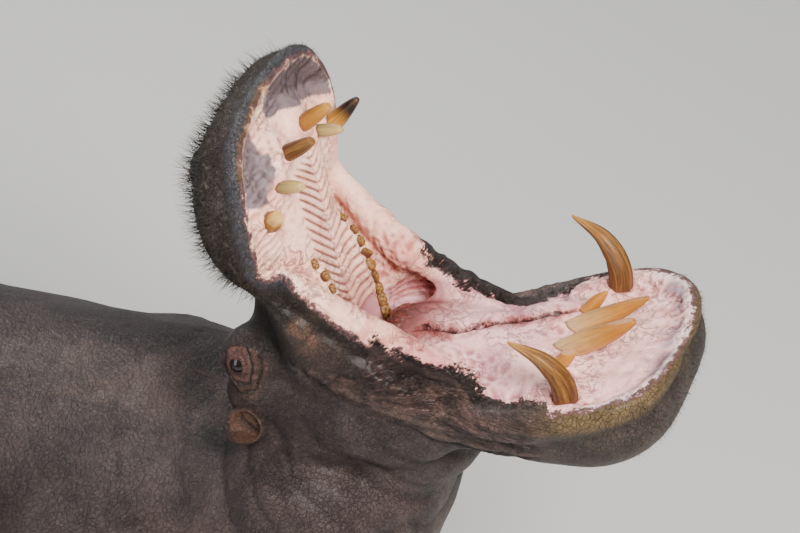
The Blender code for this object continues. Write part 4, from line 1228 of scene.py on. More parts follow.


# --------------------------------------------------------------------------------- the hide's finish
# Wet skin: a fine net of cracks and creases on the outside, dark pits where the whiskers grow, and a
# glossy, veined, softly wrinkled lining. Painted shade darkens the cracks, creases, lid folds and the
# lining's roll valleys and folds, and a painted highlight lightens the raised ribs and specks.
class Wire:
    """A node's output socket that adds, multiplies and compares like a number."""

    def __init__(self, tree, socket):
        self.tree, self.socket = tree, socket

    def node(self, kind, settings=None, **sockets):
        """Makes a node, sets it up and joins its inputs, named with _ for a space."""
        made = self.tree.nodes.new(kind)
        for name, value in (settings or {}).items():
            setattr(made, name, value)
        for name, value in sockets.items():
            self.join(value, made.inputs[name.replace("_", " ")])
        return made

    def join(self, value, socket):
        if isinstance(value, Wire):
            self.tree.links.new(value.socket, socket)
        elif hasattr(socket.default_value, "__len__") and not hasattr(value, "__len__"):
            socket.default_value = (value,) * len(socket.default_value)
        elif hasattr(value, "__len__") and len(value) == 3 and len(socket.default_value) == 4:
            socket.default_value = (*value, 1.0)
        else:
            socket.default_value = value

    def out(self, node, name=0):
        return Wire(self.tree, node.outputs[name])

    def math(self, operation, *values):
        """A Math node, or a Vector Math node where this is a vector."""
        kind = "ShaderNodeVectorMath" if self.socket.type == "VECTOR" else "ShaderNodeMath"
        made = self.node(kind, {"operation": operation})
        for value, socket in zip(values, made.inputs):
            self.join(value, socket)
        return self.out(made)

    def __add__(self, other):
        return self.math("ADD", self, other)

    __radd__ = __add__

    def __sub__(self, other):
        return self.math("SUBTRACT", self, other)

    def __rsub__(self, other):
        return self.math("SUBTRACT", other, self)

    def __mul__(self, other):
        if self.socket.type == "VECTOR" and not hasattr(other, "__len__"):
            made = self.node("ShaderNodeVectorMath", {"operation": "SCALE"})
            self.join(self, made.inputs[0])
            self.join(other, made.inputs["Scale"])
            return self.out(made)
        return self.math("MULTIPLY", self, other)

    __rmul__ = __mul__

    def ease(self, low, high):
        """0 below low, 1 above high, and a smooth turn between them; high may be the lower."""
        eased = {"interpolation_type": "SMOOTHSTEP"}
        return self.out(self.node("ShaderNodeMapRange", eased, Value=self, From_Min=low, From_Max=high))

    def near(self, width, inner=0.0):
        """1 where this is within inner of 0, easing to 0 at width."""
        return self.math("ABSOLUTE", self).ease(width, inner)

    def noise(self, scale, detail=2.0, roughness=0.5, distortion=0.0):
        """Noise over this place, 0 to 1."""
        shape = dict(Scale=scale, Detail=detail, Roughness=roughness, Distortion=distortion)
        return self.out(self.node("ShaderNodeTexNoise", None, Vector=self, **shape), "Fac")

    def cells(self, scale, feature="F1", randomness=1.0):
        """The distance to the nearest cell's middle, or with DISTANCE_TO_EDGE to its wall."""
        shape = dict(Scale=scale, Randomness=randomness)
        made = self.node("ShaderNodeTexVoronoi", {"feature": feature}, Vector=self, **shape)
        return self.out(made, "Distance")

    def mix(self, first, second):
        """first where this is 0 and second where it is 1."""
        made = self.node("ShaderNodeMix", {"data_type": "RGBA"})
        self.join(self, made.inputs[0])
        self.join(first, made.inputs[6])
        self.join(second, made.inputs[7])
        return self.out(made, 2)

    def under(self, coats):
        """This colour under coats of colour, each laid over the last by its share."""
        laid = self
        for colour, share in coats:
            laid = share.mix(laid, tone(*colour))
        return laid


def finish(name, **constants):
    """A new material: its shader, the place on the object, and a reader of stored values."""
    made = bpy.data.materials.new(name)
    made.use_nodes = True
    tree = made.node_tree
    shader = tree.nodes["Principled BSDF"]
    for key, value in constants.items():
        shader.inputs[key.replace("_", " ")].default_value = value
    spot_of = Wire(tree, tree.nodes.new("ShaderNodeTexCoord").outputs["Object"])

    def stored(attribute, output="Fac"):
        return spot_of.out(spot_of.node("ShaderNodeAttribute", {"attribute_name": attribute}), output)

    return made, shader, spot_of, stored


def coat(wire, shader, height=None, depth=0.001, **inputs):
    """Joins colour, roughness and a bump of the given depth in metres to the shader."""
    for key, value in inputs.items():
        wire.join(value, shader.inputs[key.replace("_", " ")])
    if height is not None:
        bump = wire.node("ShaderNodeBump", None, Height=height, Distance=depth, Strength=1.0)
        wire.tree.links.new(bump.outputs["Normal"], shader.inputs["Normal"])


def surfaced(piece, material):
    """Shades the piece smoothly and gives it its one material."""
    for face in piece.data.polygons:
        face.use_smooth = True
    piece.data.materials.clear()
    piece.data.materials.append(material)


skin, shader, place, stored = finish("wet hide", Specular_IOR_Level=0.27, Coat_Roughness=0.22)
warped = place + (place.noise(60.0, 2.0) - 0.5) * 0.012
patch = warped.noise(38.0, 4.0, 0.62)
fine = place.noise(260.0, 3.0, 0.6)
bristly = stored("web_way", "Vector").noise(9.0, 4.0, 0.7)
border = stored("pigment") + (patch - 0.5) * (0.5 + 1.5 * stored("blotchy")) + (fine - 0.5) * 0.35
border = border + (bristly - 0.5) * 1.4 * stored("blotchy")
outside = border.ease(0.50, 0.66)
bruised = border.ease(0.36, 0.50)

# the outside's cracks and pits, with painted shade in the cracks, creases and lid folds and a painted
# highlight on the raised ribs
whiskery, blotchy = stored("whiskery"), stored("blotchy")
cracks = warped.cells(95.0, "DISTANCE_TO_EDGE").ease(0.09, 0.0)
small_cracks = warped.cells(240.0, "DISTANCE_TO_EDGE").ease(0.10, 0.0)
pits = place.cells(150.0, "F1", 0.8).ease(0.38, 0.22) * whiskery
streaked = warped.noise(9.0, 5.0, 0.65)
ribbed = place.noise(85.0, 3.0, 0.6, 0.6)
lid_turn = stored("lid_ring") + (place.noise(46.0, 4.0, 0.6) - 0.5) * 1.5 - FIRST_LID_FOLD
lid_turn = lid_turn * (math.pi / LID_FOLD_SPACING)
lid_fold = lid_turn.math("ABSOLUTE", lid_turn.math("COSINE", lid_turn))
round_eye = stored("lid_ring").ease(4.9, 3.0) * stored("lid_ring").ease(1.2, 1.8)
hide_colour = stored("hide_tint", "Color").under([
    ((96, 80, 72), streaked.ease(0.35, 0.75) * 0.30),
    ((28, 23, 22), streaked.ease(0.60, 0.35) * 0.45),
    # painted highlight: paler where the bump raises the ribs, most on the whiskery muzzle
    ((112, 98, 88), ribbed.ease(0.50, 0.68) * (0.18 + 0.50 * whiskery)),
    # dark crack lines: partly the hide's own cracks, partly painted shade in the grooves the bump cuts
    ((22, 17, 16), cracks * 0.45 + small_cracks * 0.25),
    ((14, 11, 10), pits * 0.92),
    # painted shade darkening the hide's creases
    ((18, 12, 11), stored("crease") * 0.65),
    # painted shade in the valleys of the lid folds
    ((16, 10, 8), lid_fold.ease(0.34, 0.02) * round_eye * 0.75),
    # orange-brown on the lid folds' raised crests: partly the rings' own colour, partly painted highlight
    ((150, 104, 82), lid_fold.ease(0.70, 1.0) * round_eye * ribbed.ease(0.42, 0.66) * 0.20),
    ((20, 14, 13), bristly.ease(0.46, 0.62) * blotchy * 0.5),
])

# the lining's veins, specks and redder puckers, fainter in the lilac patches, with painted shade in its
# creases, between the palate's rolls and down the fold beside the tongue, and painted highlight on the
# pale specks
blushing = 1 - stored("lilac")
veins = (warped.noise(26.0, 3.0, 0.55) - 0.5).near(0.035)
puckers = warped.noise(30.0, 5.0, 0.6, 1.1) - 0.5
puckers = puckers.math("ABSOLUTE", puckers).ease(0.0, 0.045)
puckered = place.noise(9.0, 1.0).ease(0.40, 0.60)
turned = stored("roll_beat") * math.pi
rolls = turned.math("ABSOLUTE", turned.math("COSINE", turned)).ease(0.0, 0.55)
lining_colour = stored("lining_tint", "Color").under([
    ((196, 96, 92), veins * 0.24 * blushing),
    # pale specks where the fine grain stands up: partly speckle, partly painted highlight
    ((250, 226, 218), fine.ease(0.54, 0.78) * 0.14),
    ((190, 110, 106), fine.ease(0.46, 0.30) * 0.30 * blushing),
    ((186, 96, 88), (1 - puckers) * 0.34 * blushing * puckered),
    # painted shade, dark red, in the valleys between the palate's rolls
    ((184, 104, 92), (1 - rolls) * stored("rolled") * 0.55),
])
# painted shade in the lining's creases: dark red, or dark grey in the lilac patches
crease_shade_colour = stored("lilac").mix(tone(134, 56, 52), tone(52, 42, 48))
lining_colour = (stored("crease") * 0.70).mix(lining_colour, crease_shade_colour)
# a near-black line down the fold beside the tongue: painted shade in the fold
off_fold = stored("fold_gap") + (fine - 0.5) * 0.006 + (patch - 0.5) * 0.012
fold_core = off_fold.near(0.0042, 0.0012) * stored("fold_run")
lining_colour = lining_colour.under([((34, 12, 12), fold_core * 0.9)])

border_colour = bruised.mix(lining_colour, tone(96, 66, 66))
colour = outside.mix(border_colour, hide_colour)
height_out = place.noise(70.0, 4.0, 0.6) + ribbed * (0.6 + 2.2 * whiskery) + fine * 0.3
height_out = height_out - cracks * 0.6 - small_cracks * 0.3 - pits * 1.2
height_out = height_out + lid_fold.ease(0.0, 0.7) * round_eye * 2.4
height_out = height_out - bristly.ease(0.42, 0.62) * blotchy * 1.5
height_in = warped.noise(110.0, 3.0, 0.6) * 0.8 + fine * 0.35 + puckers * puckered * 1.6
height_in = height_in - fold_core * 2.0 + rolls * stored("rolled") * 2.2
height = height_in * (1 - outside) * 0.8 + height_out * outside * 1.2
rough = 0.38 + 0.24 * fine + 0.04 * (1 - outside)
wet_film = 0.04 * stored("wetness")
coat(place, shader, height, 0.0021, Base_Color=colour, Roughness=rough, Coat_Weight=wet_film)

hide.data.transform(SET_DOWN)
surfaced(hide, skin)
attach(hide, "root")
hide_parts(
    "trunk", "neck", "head", "lower_jaw", "tongue", "tail", "ear_left", "ear_right",
    "front_leg_left", "front_leg_right", "hind_leg_left", "hind_leg_right",
)


# ------------------------------------------------------------------------------ the tusks and incisors
# Ivory that keeps growing all the animal's life: curved lower tusks with long grooves, stained brown
# and gold, smooth tapering incisors with paler roots, and short, worn-down upper teeth.
TEETH = {
    "lower_tusk": dict(
        jaw=LOWER,
        line=[
            (0.392, 0.176, -0.030), (0.408, 0.184, 0.035), (0.402, 0.194, 0.095),
            (0.366, 0.205, 0.148), (0.292, 0.213, 0.186),
        ],
        thick=[0.026, 0.030, 0.0275, 0.0215, 0.0085],
        oval=0.88, grooves=0.0016, worn=[((0.300, 0.213, 0.176), (-0.65, 0.0, -0.76))],
        tints=[(92, 60, 30), (98, 60, 20), (114, 70, 22), (138, 90, 32), (160, 114, 54)],
        stain=1.0,
    ),
    "lower_incisor_inner": dict(
        jaw=LOWER,
        line=[(0.300, 0.036, 0.010), (0.360, 0.036, 0.048), (0.440, 0.036, 0.108), (0.508, 0.036, 0.165)],
        thick=[0.021, 0.0225, 0.0195, 0.0115],
        oval=1.0, grooves=0.0003, worn=[((0.470, 0.036, 0.147), (-0.42, 0.10, 0.90))],
        tints=[(206, 178, 146), (196, 154, 98), (172, 114, 42), (160, 98, 26)],
        stain=0.45,
    ),
    "lower_incisor_outer": dict(
        jaw=LOWER,
        line=[(0.340, 0.084, 0.015), (0.370, 0.085, 0.058), (0.388, 0.085, 0.088), (0.408, 0.085, 0.116)],
        thick=[0.014, 0.0148, 0.0135, 0.0095],
        oval=1.0, grooves=0.0003, worn=[((0.399, 0.085, 0.112), (-0.30, 0.0, 0.95))],
        tints=[(196, 158, 108), (186, 134, 66), (178, 114, 38), (180, 116, 38)],
        stain=0.3,
    ),
    "upper_tusk": dict(
        jaw=UPPER,
        line=[(0.350, 0.160, 0.160), (0.360, 0.168, 0.120), (0.372, 0.174, 0.095), (0.390, 0.181, 0.070)],
        thick=[0.019, 0.0225, 0.0215, 0.0165],
        oval=0.92, grooves=0.0008, worn=[((0.378, 0.184, 0.092), (0.50, 0.70, -0.52))],
        tints=[(84, 54, 26), (92, 58, 26), (140, 92, 34), (186, 134, 50)],
        stain=0.7,
    ),
    "upper_incisor_inner": dict(
        jaw=UPPER,
        line=[(0.425, 0.050, 0.135), (0.448, 0.050, 0.095), (0.468, 0.050, 0.058), (0.490, 0.050, 0.018)],
        thick=[0.0165, 0.0180, 0.0170, 0.0150],
        oval=0.95, grooves=0.0006, worn=[((0.486, 0.050, 0.022), (0.62, 0.0, -0.78))],
        tints=[(76, 50, 24), (84, 54, 26), (96, 62, 30), (118, 80, 42)],
        stain=0.8,
    ),
    "upper_incisor_outer": dict(
        jaw=UPPER,
        line=[(0.400, 0.098, 0.125), (0.400, 0.100, 0.085), (0.399, 0.100, 0.052), (0.398, 0.100, 0.020)],
        thick=[0.012, 0.0138, 0.0132, 0.0115],
        oval=0.95, grooves=0.0005, worn=[((0.401, 0.100, 0.024), (0.35, 0.2, -0.90))],
        tints=[(96, 86, 52), (138, 122, 78), (176, 150, 96), (186, 156, 100)],
        stain=0.35,
    ),
}

ivory, shader, place, stored = finish(
    "tusk ivory", Specular_IOR_Level=0.35, Coat_Weight=0.06, Coat_Roughness=0.2
)
run = stored("run", "Vector")
streaks = run.noise(3.0, 5.0, 0.62)
hairlines = run.noise(14.0, 4.0, 0.65)
chips = place.noise(150.0, 3.0, 0.6)
stain = stored("stain")
ivory_colour = stored("ivory_tint", "Color").under([
    ((26, 16, 6), streaks.ease(0.44, 0.68) * stain * 0.68),
    ((160, 122, 58), streaks.ease(0.50, 0.30) * (0.20 + 0.45 * stain)),
    ((30, 17, 7), hairlines.ease(0.52, 0.64) * stain * 0.85),
    ((46, 28, 13), chips.ease(0.62, 0.75) * 0.25),
    ((104, 56, 40), stored("gummed") * 0.75),
])
relief = streaks * (0.35 + stain) + hairlines * (0.3 - 1.1 * stain) + chips * 0.2
coat(place, shader, relief, 0.0018, Base_Color=ivory_colour, Roughness=0.26 + 0.25 * chips + 0.12 * stain)


def ivory_tooth(name, node, side, jaw, line, thick, oval, grooves, worn, tints, stain):
    """One tooth swept along its line, grooved lengthwise, and worn flat where it meets another."""
    line = np.array(line) * (1, side, 1)
    form, made, turn, down = ball(36, 72)
    knots = steps_along(line)
    at = down * knots[-1]
    middle = through(knots, line, at)
    rows = through(knots, np.array(thick), at) * np.sin(math.pi * down) ** 0.30
    ahead = heading(knots, line, at)
    across = units(np.cross(ahead, (1.0, 0.0, 0.0) if abs(ahead[0, 0]) < 0.8 else (0.0, 1.0, 0.0)))
    over = np.cross(across, ahead)
    ridge = np.cos(7 * turn + 0.8) + 0.6 * np.cos(11 * turn + 2.0) + 0.4 * np.cos(17 * turn)
    bulge = rows - grooves * (1.0 + 0.6 * ridge) + 0.03 * rows * np.sin(2.2 * math.pi * down + turn)
    points = middle + across * (np.cos(turn) * bulge * oval)[:, None]
    points = points + over * (np.sin(turn) * bulge)[:, None]
    for face_at, face_out in worn:
        face_out = np.array(face_out) * (1, side, 1)
        face_out = face_out / np.linalg.norm(face_out)
        proud = np.maximum((points - np.array(face_at) * (1, side, 1)) @ face_out, 0)
        points = points - np.outer(proud * 0.97 * ramp(0.50, 0.62, down), face_out)
    bend(made, points)
    tooth = piece_of(form, name)
    run = np.stack([np.cos(turn), np.sin(turn), down * knots[-1] * 2.2 + side], axis=1)
    keep(tooth.data, "run", run, vector=True)
    shades = np.array([tone(*shade) for shade in tints])
    out_of_gum = np.clip(down * 1.15 - 0.12, 0, 1)
    keep(tooth.data, "ivory_tint", through(np.linspace(0, 1, len(tints)), shades, out_of_gum))
    keep(tooth.data, "stain", stain * ramp(1.0, 0.80, down))
    tooth.data.transform(SET_DOWN @ jaw)
    clean = bmesh.new()
    clean.from_mesh(tooth.data)
    bmesh.ops.recalc_face_normals(clean, faces=clean.faces)
    clean.to_mesh(tooth.data)
    clean.free()
    gum = np.array([hide.closest_point_on_mesh(v.co)[1] for v in tooth.data.vertices])
    to_gum = np.linalg.norm(gum - places(tooth.data), axis=1)
    keep(tooth.data, "gummed", ramp(0.006, 0.001, to_gum))
    surfaced(tooth, ivory)
    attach(tooth, "root")
    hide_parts(node)


for kind, shape in TEETH.items():
    for word, side in (("left", 1), ("right", -1)):
        own = dict(shape)
        if kind == "upper_tusk" and side > 0:                # the far one is less worn down
            own["line"] = shape["line"][:3] + [(0.410, 0.197, 0.036)]
            own["thick"] = [0.019, 0.0225, 0.0205, 0.0135]
            own["worn"] = [((0.408, 0.204, 0.040), (0.62, 0.30, -0.72))]
            own["tints"] = [(72, 46, 22), (186, 134, 50), (190, 132, 46), (50, 30, 14), (58, 36, 16)]
        if kind == "lower_incisor_inner" and side < 0:       # the near one is worn blunt
            own["line"] = shape["line"][:3] + [(0.500, 0.036, 0.158)]
            own["thick"] = [0.021, 0.0235, 0.0225, 0.0175]
        if kind == "lower_incisor_outer" and side < 0:       # and its neighbour is worn to a stub
            own["line"] = shape["line"][:3] + [(0.396, 0.085, 0.098)]
            own["worn"] = [((0.386, 0.085, 0.086), (-0.30, 0.0, 0.95))]
        if kind == "upper_incisor_outer":                    # both are short, the near one shorter
            own["line"] = shape["line"][:3] + [(0.399, 0.100, 0.044 if side < 0 else 0.036)]
            own["worn"] = [((0.401, 0.100, 0.050 if side < 0 else 0.040), (0.35, 0.2, -0.90))]
        if kind == "upper_incisor_inner" and side < 0:       # the near one leans down
            own["line"] = shape["line"][:1] + [
                (0.444, 0.050, 0.095), (0.458, 0.050, 0.058), (0.475, 0.050, 0.019),
            ]
            own["worn"] = [((0.471, 0.050, 0.024), (0.62, 0.0, -0.78))]
        if kind == "upper_incisor_inner" and side > 0:       # the far one is less stained
            own["tints"] = [(112, 70, 24), (150, 100, 34), (168, 114, 42), (180, 126, 52)]
            own["stain"] = 0.4
        ivory_tooth(f"{kind}.{word}.ivory", f"{kind}_{word}", side, **own)


# ------------------------------------------------------------------------------------ the cheek teeth
# A row of low, worn grinding teeth on each side of the palate, gold with dark brown crevices, half
# sunk in gum. The lower rows, down between the tongue and the gums' folds, are left out.
def cheek_row(name, jaw, line, into, side, count, size, lift):
    """A row of teeth set on the gum, each standing lift above it at its middle."""
    row = bmesh.new()
    marks = []
    turned = SET_DOWN.to_3x3() @ jaw.to_3x3()
    line = np.array(line) * (1, side, 1)
    knots = steps_along(line)
    for index in range(count):
        share = (index + 0.5) / count
        centre = through(knots, line, np.array([share * knots[-1]]))[0]
        start = SET_DOWN @ jaw @ Vector(centre + np.array(into))
        met, gum_at, gum_out, _ = hide.ray_cast(start, turned @ -Vector(into))
        if not met:
            continue
        along = (turned @ Vector(line[-1] - line[0])).normalized()
        along = (along - gum_out * along.dot(gum_out)).normalized()
        aside = gum_out.cross(along)
        length = size * (1.12 - 0.45 * share) * (1 + 0.10 * math.sin(5.1 * index + side))
        form, made, _, _ = ball(16, 14)
        unit = np.array([v.co for v in made])
        square = np.sign(unit) * np.abs(unit) ** 0.62
        cusps = 0.16 * np.cos(2.6 * math.pi * square[:, 0] + 0.4 * index)
        cusps = cusps * np.cos(1.6 * math.pi * square[:, 1])
        tall = np.where(square[:, 2] > 0, square[:, 2] * (0.86 + cusps), square[:, 2])
        lean = 0.10 * math.sin(3.7 * index + 2 * side)
        points = (
            np.array(gum_at)
            + np.outer(square[:, 0] * length * 0.50, along)
            + np.outer(square[:, 1] * length * 0.33 + lean * length * square[:, 2], aside)
            + np.outer(tall * 0.0105 + lift, gum_out)
        )
        bend(made, points)
        bmesh.ops.recalc_face_normals(form, faces=form.faces)
        add(row, form)
        marks += list(np.stack([square[:, 2], square[:, 0] * 0.5 + index, cusps], axis=1))
    teeth_row = piece_of(row, name)
    marks = np.array(marks)
    height, _, cusps = marks.T
    shade = painted(np.tile(tone(134, 90, 40), (len(marks), 1)), [
        ((182, 136, 76), ramp(0.5, 1.0, height) * ramp(-0.02, 0.12, cusps)),
        ((36, 20, 10), ramp(0.60, -0.05, height) * 0.85),
        ((50, 30, 18), ramp(0.4, 0.9, height) * ramp(-0.03, -0.12, cusps)),
    ])
    keep(teeth_row.data, "ivory_tint", shade)
    keep(teeth_row.data, "stain", np.full(len(marks), 0.55))
    keep(teeth_row.data, "gummed", ramp(0.25, 0.0, height) * 0.8)
    keep(teeth_row.data, "run", marks * (1.5, 2.0, 3.0), vector=True)
    surfaced(teeth_row, ivory)
    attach(teeth_row, "root")


for word, side in (("left", 1), ("right", -1)):
    cheek_row(
        f"cheek_teeth.upper.{word}", UPPER,
        [(-0.050, 0.086, 0.098), (0.080, 0.083, 0.088), (0.215, 0.078, 0.092)],
        (0, 0, -0.06), side, 9, 0.0315, 0.0015 if side > 0 else -0.0020,
    )


# ------------------------------------------------------------------------------------------ the eyes
# Wet, dark brown eyeballs with a clear bulge over the iris, set deep between the lids.
glassy, shader, place, stored = finish(
    "wet eye", Specular_IOR_Level=0.35, Coat_Weight=0.2, Coat_Roughness=0.02, Roughness=0.10
)
from_middle = stored("from_middle")
eye_colour = from_middle.ease(0.86, 0.70).mix(tone(104, 62, 56), tone(24, 14, 10))
eye_colour = (place.noise(900.0, 2.0) * 0.5).mix(eye_colour, tone(16, 9, 7))
eye_colour = stored("pupil").ease(1.08, 0.92).mix(eye_colour, tone(6, 5, 5))
coat(place, shader, Base_Color=eye_colour)
for word, side, eye in (("left", 1, EYES[0]), ("right", -1, EYES[1])):
    form = bmesh.new()
    bmesh.ops.create_uvsphere(form, u_segments=48, v_segments=32, radius=1.0)
    facing, level = eye_axes(side)
    unit = np.array([v.co for v in form.verts])
    off = np.arccos(np.clip(unit @ np.array(facing), -1, 1))
    radius = 0.0240 + 0.0016 * ramp(0.62, 0.15, off)
    for vertex, reach_out in zip(form.verts, radius):
        vertex.co = SET_DOWN @ (eye + vertex.co * reach_out)
    ball_of_eye = piece_of(form, f"eye.{word}.ball")
    keep(ball_of_eye.data, "from_middle", off)
    wide_off = np.hypot(unit @ np.array(level) / 0.24, unit @ np.array(facing.cross(level)) / 0.13)
    keep(ball_of_eye.data, "pupil", np.where(unit @ np.array(facing) > 0, wide_off, 9.0))
    surfaced(ball_of_eye, glassy)
    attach(ball_of_eye, "root")
    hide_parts(f"eye_{word}")


# -------------------------------------------------------------------------------------- the toenails
# Sixteen short, blunt nails of dark horn, ridged lengthwise and scuffed pale at their edges.
horn, shader, place, stored = finish("horn", Specular_IOR_Level=0.4)
ribs = stored("rib", "Vector").noise(9.0, 3.0, 0.6)
scuffs = place.noise(90.0, 4.0, 0.65)
horn_colour = ribs.ease(0.3, 0.7).mix(tone(40, 33, 30), tone(84, 72, 62))
horn_colour = (scuffs.ease(0.5, 0.75) * 0.6).mix(horn_colour, tone(128, 112, 96))
coat(place, shader, ribs + scuffs * 0.6, 0.0018, Base_Color=horn_colour, Roughness=0.42 + 0.25 * scuffs)
NAILS_OUT = 0.173                   # metres from the foot's middle to a nail's
for x, y, side, end in FEET:
    word = "left" if side > 0 else "right"
    for index, toe_turn in enumerate(TOE_TURNS):
        form, made, turn, down = ball(28, 22)
        unit = np.array([v.co for v in made])
        square = np.sign(unit) * np.abs(unit) ** np.array([0.85, 0.80, 0.72])
        square[:, 0] -= 0.22 * square[:, 1] ** 2 + 0.10 * np.maximum(square[:, 2], 0)
        bend(made, square)
        middle = (x + NAILS_OUT * math.cos(toe_turn), y + NAILS_OUT * 0.98 * math.sin(toe_turn), 0.040)
        seat = (
            Matrix.Translation(middle)
            @ Matrix.Rotation(toe_turn, 4, "Z")
            @ Matrix.Rotation(math.radians(-18), 4, "Y")
            @ Matrix.Diagonal((0.024, 0.036, 0.030, 1.0))
        )
        bmesh.ops.transform(form, matrix=SET_DOWN @ seat, verts=form.verts)
        nail = piece_of(form, f"toenail.{end}.{word}.{index + 1}")
        keep(nail.data, "rib", square * (0.2, 1.0, 0.12) + index, vector=True)
        surfaced(nail, horn)
        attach(nail, "root")
        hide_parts(f"{end}_toenail_{word}_{index + 1}")


# ----------------------------------------------------------------------------------------- the bristles
# The only hair of a nearly bare animal: stiff dark bristles over the muzzle and lips, short down on
# the lower muzzle, a fringe on each ear and a flat brush on the tail. They grow out of the hide.
def rooted(weight, count, seed):
    """Roots strewn over the hide, as thick as each vertex's weight, and the hide's way out there."""
    dice = np.random.default_rng(seed)
    hide.data.calc_loop_triangles()
    corners = np.empty(len(hide.data.loop_triangles) * 3, int)
    hide.data.loop_triangles.foreach_get("vertices", corners)
    corners = corners.reshape(-1, 3)
    a, b, c = np.moveaxis(places(hide.data)[corners], 1, 0)
    outward = np.cross(b - a, c - a)
    area = np.linalg.norm(outward, axis=1)
    chance = area * weight[corners].mean(axis=1)
    pick = dice.choice(len(corners), count, p=chance / chance.sum())
    along, aside = dice.random((2, count))
    along, aside = np.where(along + aside > 1, (1 - along, 1 - aside), (along, aside))
    roots = a[pick] + (b - a)[pick] * along[:, None] + (c - a)[pick] * aside[:, None]
    return roots, outward[pick] / area[pick][:, None], dice


bristle, shader, place, stored = finish("bristle", Specular_IOR_Level=0.35)
worn_tip = stored("hair_run")
hair_colour = worn_tip.ease(0.3, 1.0).mix(stored("hair_tint", "Color"), tone(84, 66, 48))
coat(place, shader, Base_Color=hair_colour, Roughness=0.46 + 0.10 * place.noise(200.0, 2.0))


def grow(name, weight, count, seed, length, thick, lean, shade):
    """A piece of coat: count tapering hairs that lean with the vector lean and bend at their tips."""
    roots, outward, dice = rooted(weight, count, seed)
    form = bmesh.new()
    bmesh.ops.create_cone(form, cap_ends=True, segments=3, radius1=1.0, radius2=0.12, depth=1.0)
    long_edges = [e for e in form.edges if abs(e.verts[0].co.z - e.verts[1].co.z) > 0.5]
    bmesh.ops.subdivide_edges(form, edges=long_edges, cuts=3)
    bmesh.ops.triangulate(form, faces=form.faces)
    hair = piece_of(form, name)
    one = places(hair.data)
    hair.data.uv_layers.new(name="OFBake")
    copies = hair.modifiers.new("copies", "ARRAY")
    copies.count = count
    copies.use_relative_offset = False
    copies.use_constant_offset = True
    copies.constant_offset_displace = (0.0, 0.0, 0.0)
    settle(hair)
    ahead = units(outward + np.array(lean) + dice.normal(0, 0.22, (count, 3)))
    across = units(np.cross(ahead, [0.31, 0.80, 0.51]))
    over = np.cross(ahead, across)
    reach_out = length * dice.uniform(0.45, 1.0, count)
    bend = dice.normal(0, 0.16, (count, 3)) + np.array(lean) * 0.3
    run = one[:, 2] + 0.5
    sunk = np.maximum(run * 1.04 - 0.04, -0.04)
    points = (
        roots[:, None]
        + ahead[:, None] * (sunk * reach_out[:, None])[:, :, None]
        + bend[:, None] * (run**2 * reach_out[:, None])[:, :, None]
        + across[:, None] * (one[:, 0] * thick)[None, :, None]
        + over[:, None] * (one[:, 1] * thick)[None, :, None]
    )
    move(hair.data, points.reshape(-1, 3))
    keep(hair.data, "hair_run", np.tile(run, count))
    own = np.array(tone(*shade)) * dice.uniform(0.6, 1.4, count)[:, None]
    keep(hair.data, "hair_tint", np.repeat(own, len(one), axis=0))

    # each hair is a small patch at its root's longitude and latitude about the skin it grows from
    from_middle = roots - roots.mean(axis=0)
    far = np.linalg.norm(from_middle, axis=1)
    longitude = np.arctan2(from_middle[:, 1], from_middle[:, 0]) / (2 * math.pi) + 0.5
    latitude = np.arccos(np.clip(from_middle[:, 2] / far, -1, 1)) / math.pi
    corners = np.empty(len(hair.data.loops), int)
    hair.data.loops.foreach_get("vertex_index", corners)
    whose, which = corners // len(one), corners % len(one)
    patch_size = 0.003                  # of the whole map's width
    around = (np.arctan2(one[:, 1], one[:, 0]) / (2 * math.pi) + 0.5) * patch_size
    flat = np.stack([
        longitude[whose] * (1 - patch_size) + around[which],
        latitude[whose] * (1 - patch_size) + (run * patch_size)[which],
    ], axis=1)
    hair.data.uv_layers["OFBake"].data.foreach_set("uv", flat.astype(np.float32).ravel())
    surfaced(hair, bristle)
    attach(hair, "root")


def stored_on_hide(name):
    """The numbers kept under the name, one for each of the hide's vertices."""
    layer = hide.data.attributes[name].data
    values = np.empty(len(layer), np.float32)
    layer.foreach_get("value", values)
    return values.astype(float)


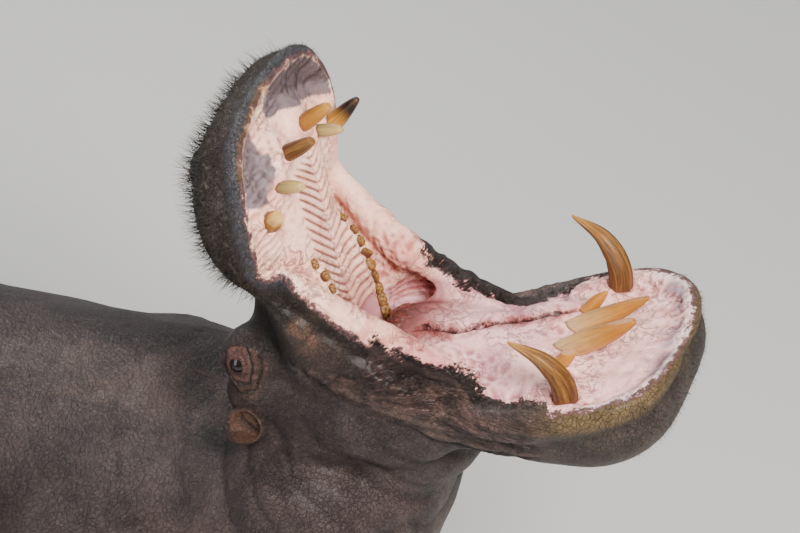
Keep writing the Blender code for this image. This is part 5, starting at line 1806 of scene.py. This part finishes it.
at = places(hide.data)
laid_out = local(at, SET_DOWN)
u, y, w = local(laid_out, UPPER).T
m, _, n = local(laid_out, LOWER).T
outside_lip = ramp(0.45, 0.85, stored_on_hide("pigment"))
swing = np.degrees(np.arctan2(n, m))
dry = ramp(0.15, 0.24, u) * ramp(0.50, 1.0, outside_lip) * ramp(50, 64, swing)
chin = ramp(0.40, 0.50, m) * ramp(-0.10, 0.03, n) * ramp(0.115, 0.085, n) * (n < 0.3) * outside_lip
out, off = in_ear(laid_out)
rim_of_ear = ramp(0.026, 0.036, out) * (off < 0.055)
tip_of_tail = ramp(-1.50, -1.58, at[:, 0]) * ramp(0.98, 0.80, at[:, 2]) * ramp(0.45, 0.55, at[:, 2])
upper, lower = dry * ramp(0.16, 0.24, w), dry * ramp(0.26, 0.14, w)
grow("bristles.muzzle", upper, 2600, 71, 0.038, 0.00060, (-0.12, 0.0, 0.10), (20, 15, 12))
grow("down.muzzle", lower, 3600, 72, 0.012, 0.00032, (-0.25, 0.0, -0.55), (46, 36, 24))
grow("bristles.lower_lip", chin, 1700, 73, 0.013, 0.00030, (0.0, 0.0, -0.35), (50, 38, 24))
grow("fringe.ears", rim_of_ear, 500, 74, 0.016, 0.00026, (0.0, 0.0, 0.25), (74, 48, 32))
grow("tuft.tail", tip_of_tail, 420, 75, 0.060, 0.00055, (-0.15, 0.0, -1.10), (22, 17, 14))


# -------------------------------------------------------------------------------- the floor and light
# A plain pale studio floor and three soft lights, high and wide like an overcast sky.
floor_form = bmesh.new()
bmesh.ops.create_grid(floor_form, x_segments=1, y_segments=1, size=30.0)
floor = piece_of(floor_form, "floor")
pale, _, _, _ = finish("pale floor", Base_Color=(0.62, 0.61, 0.59, 1), Roughness=0.75)
floor.data.materials.append(pale)

world = bpy.data.worlds.new("studio")
world.use_nodes = True
sky = world.node_tree.nodes["Background"].inputs
sky["Color"].default_value = (0.86, 0.92, 1.0, 1)
sky["Strength"].default_value = 0.26
bpy.context.scene.world = world


def soft_light(name, place, size, power, warmth=(1.0, 1.0, 1.0)):
    """Hangs a round light of the size in metres and the power in watts, turned to the head."""
    light = bpy.data.lights.new(name, "AREA")
    light.shape, light.size = "DISK", size
    light.energy, light.color = power, warmth
    lamp = bpy.data.objects.new(name, light)
    lamp.location = place
    lamp.rotation_mode = "QUATERNION"
    lamp.rotation_quaternion = (Vector(place) - Vector((0.9, 0, 1.5))).to_track_quat("Z", "Y")
    bpy.context.scene.collection.objects.link(lamp)


soft_light("key", (3.6, -2.6, 5.2), 1.7, 660, (1.0, 0.97, 0.92))
soft_light("fill", (-2.5, -5.0, 3.5), 4.0, 160, (0.92, 0.96, 1.0))
soft_light("rim", (-2.0, 4.0, 4.5), 2.5, 220)
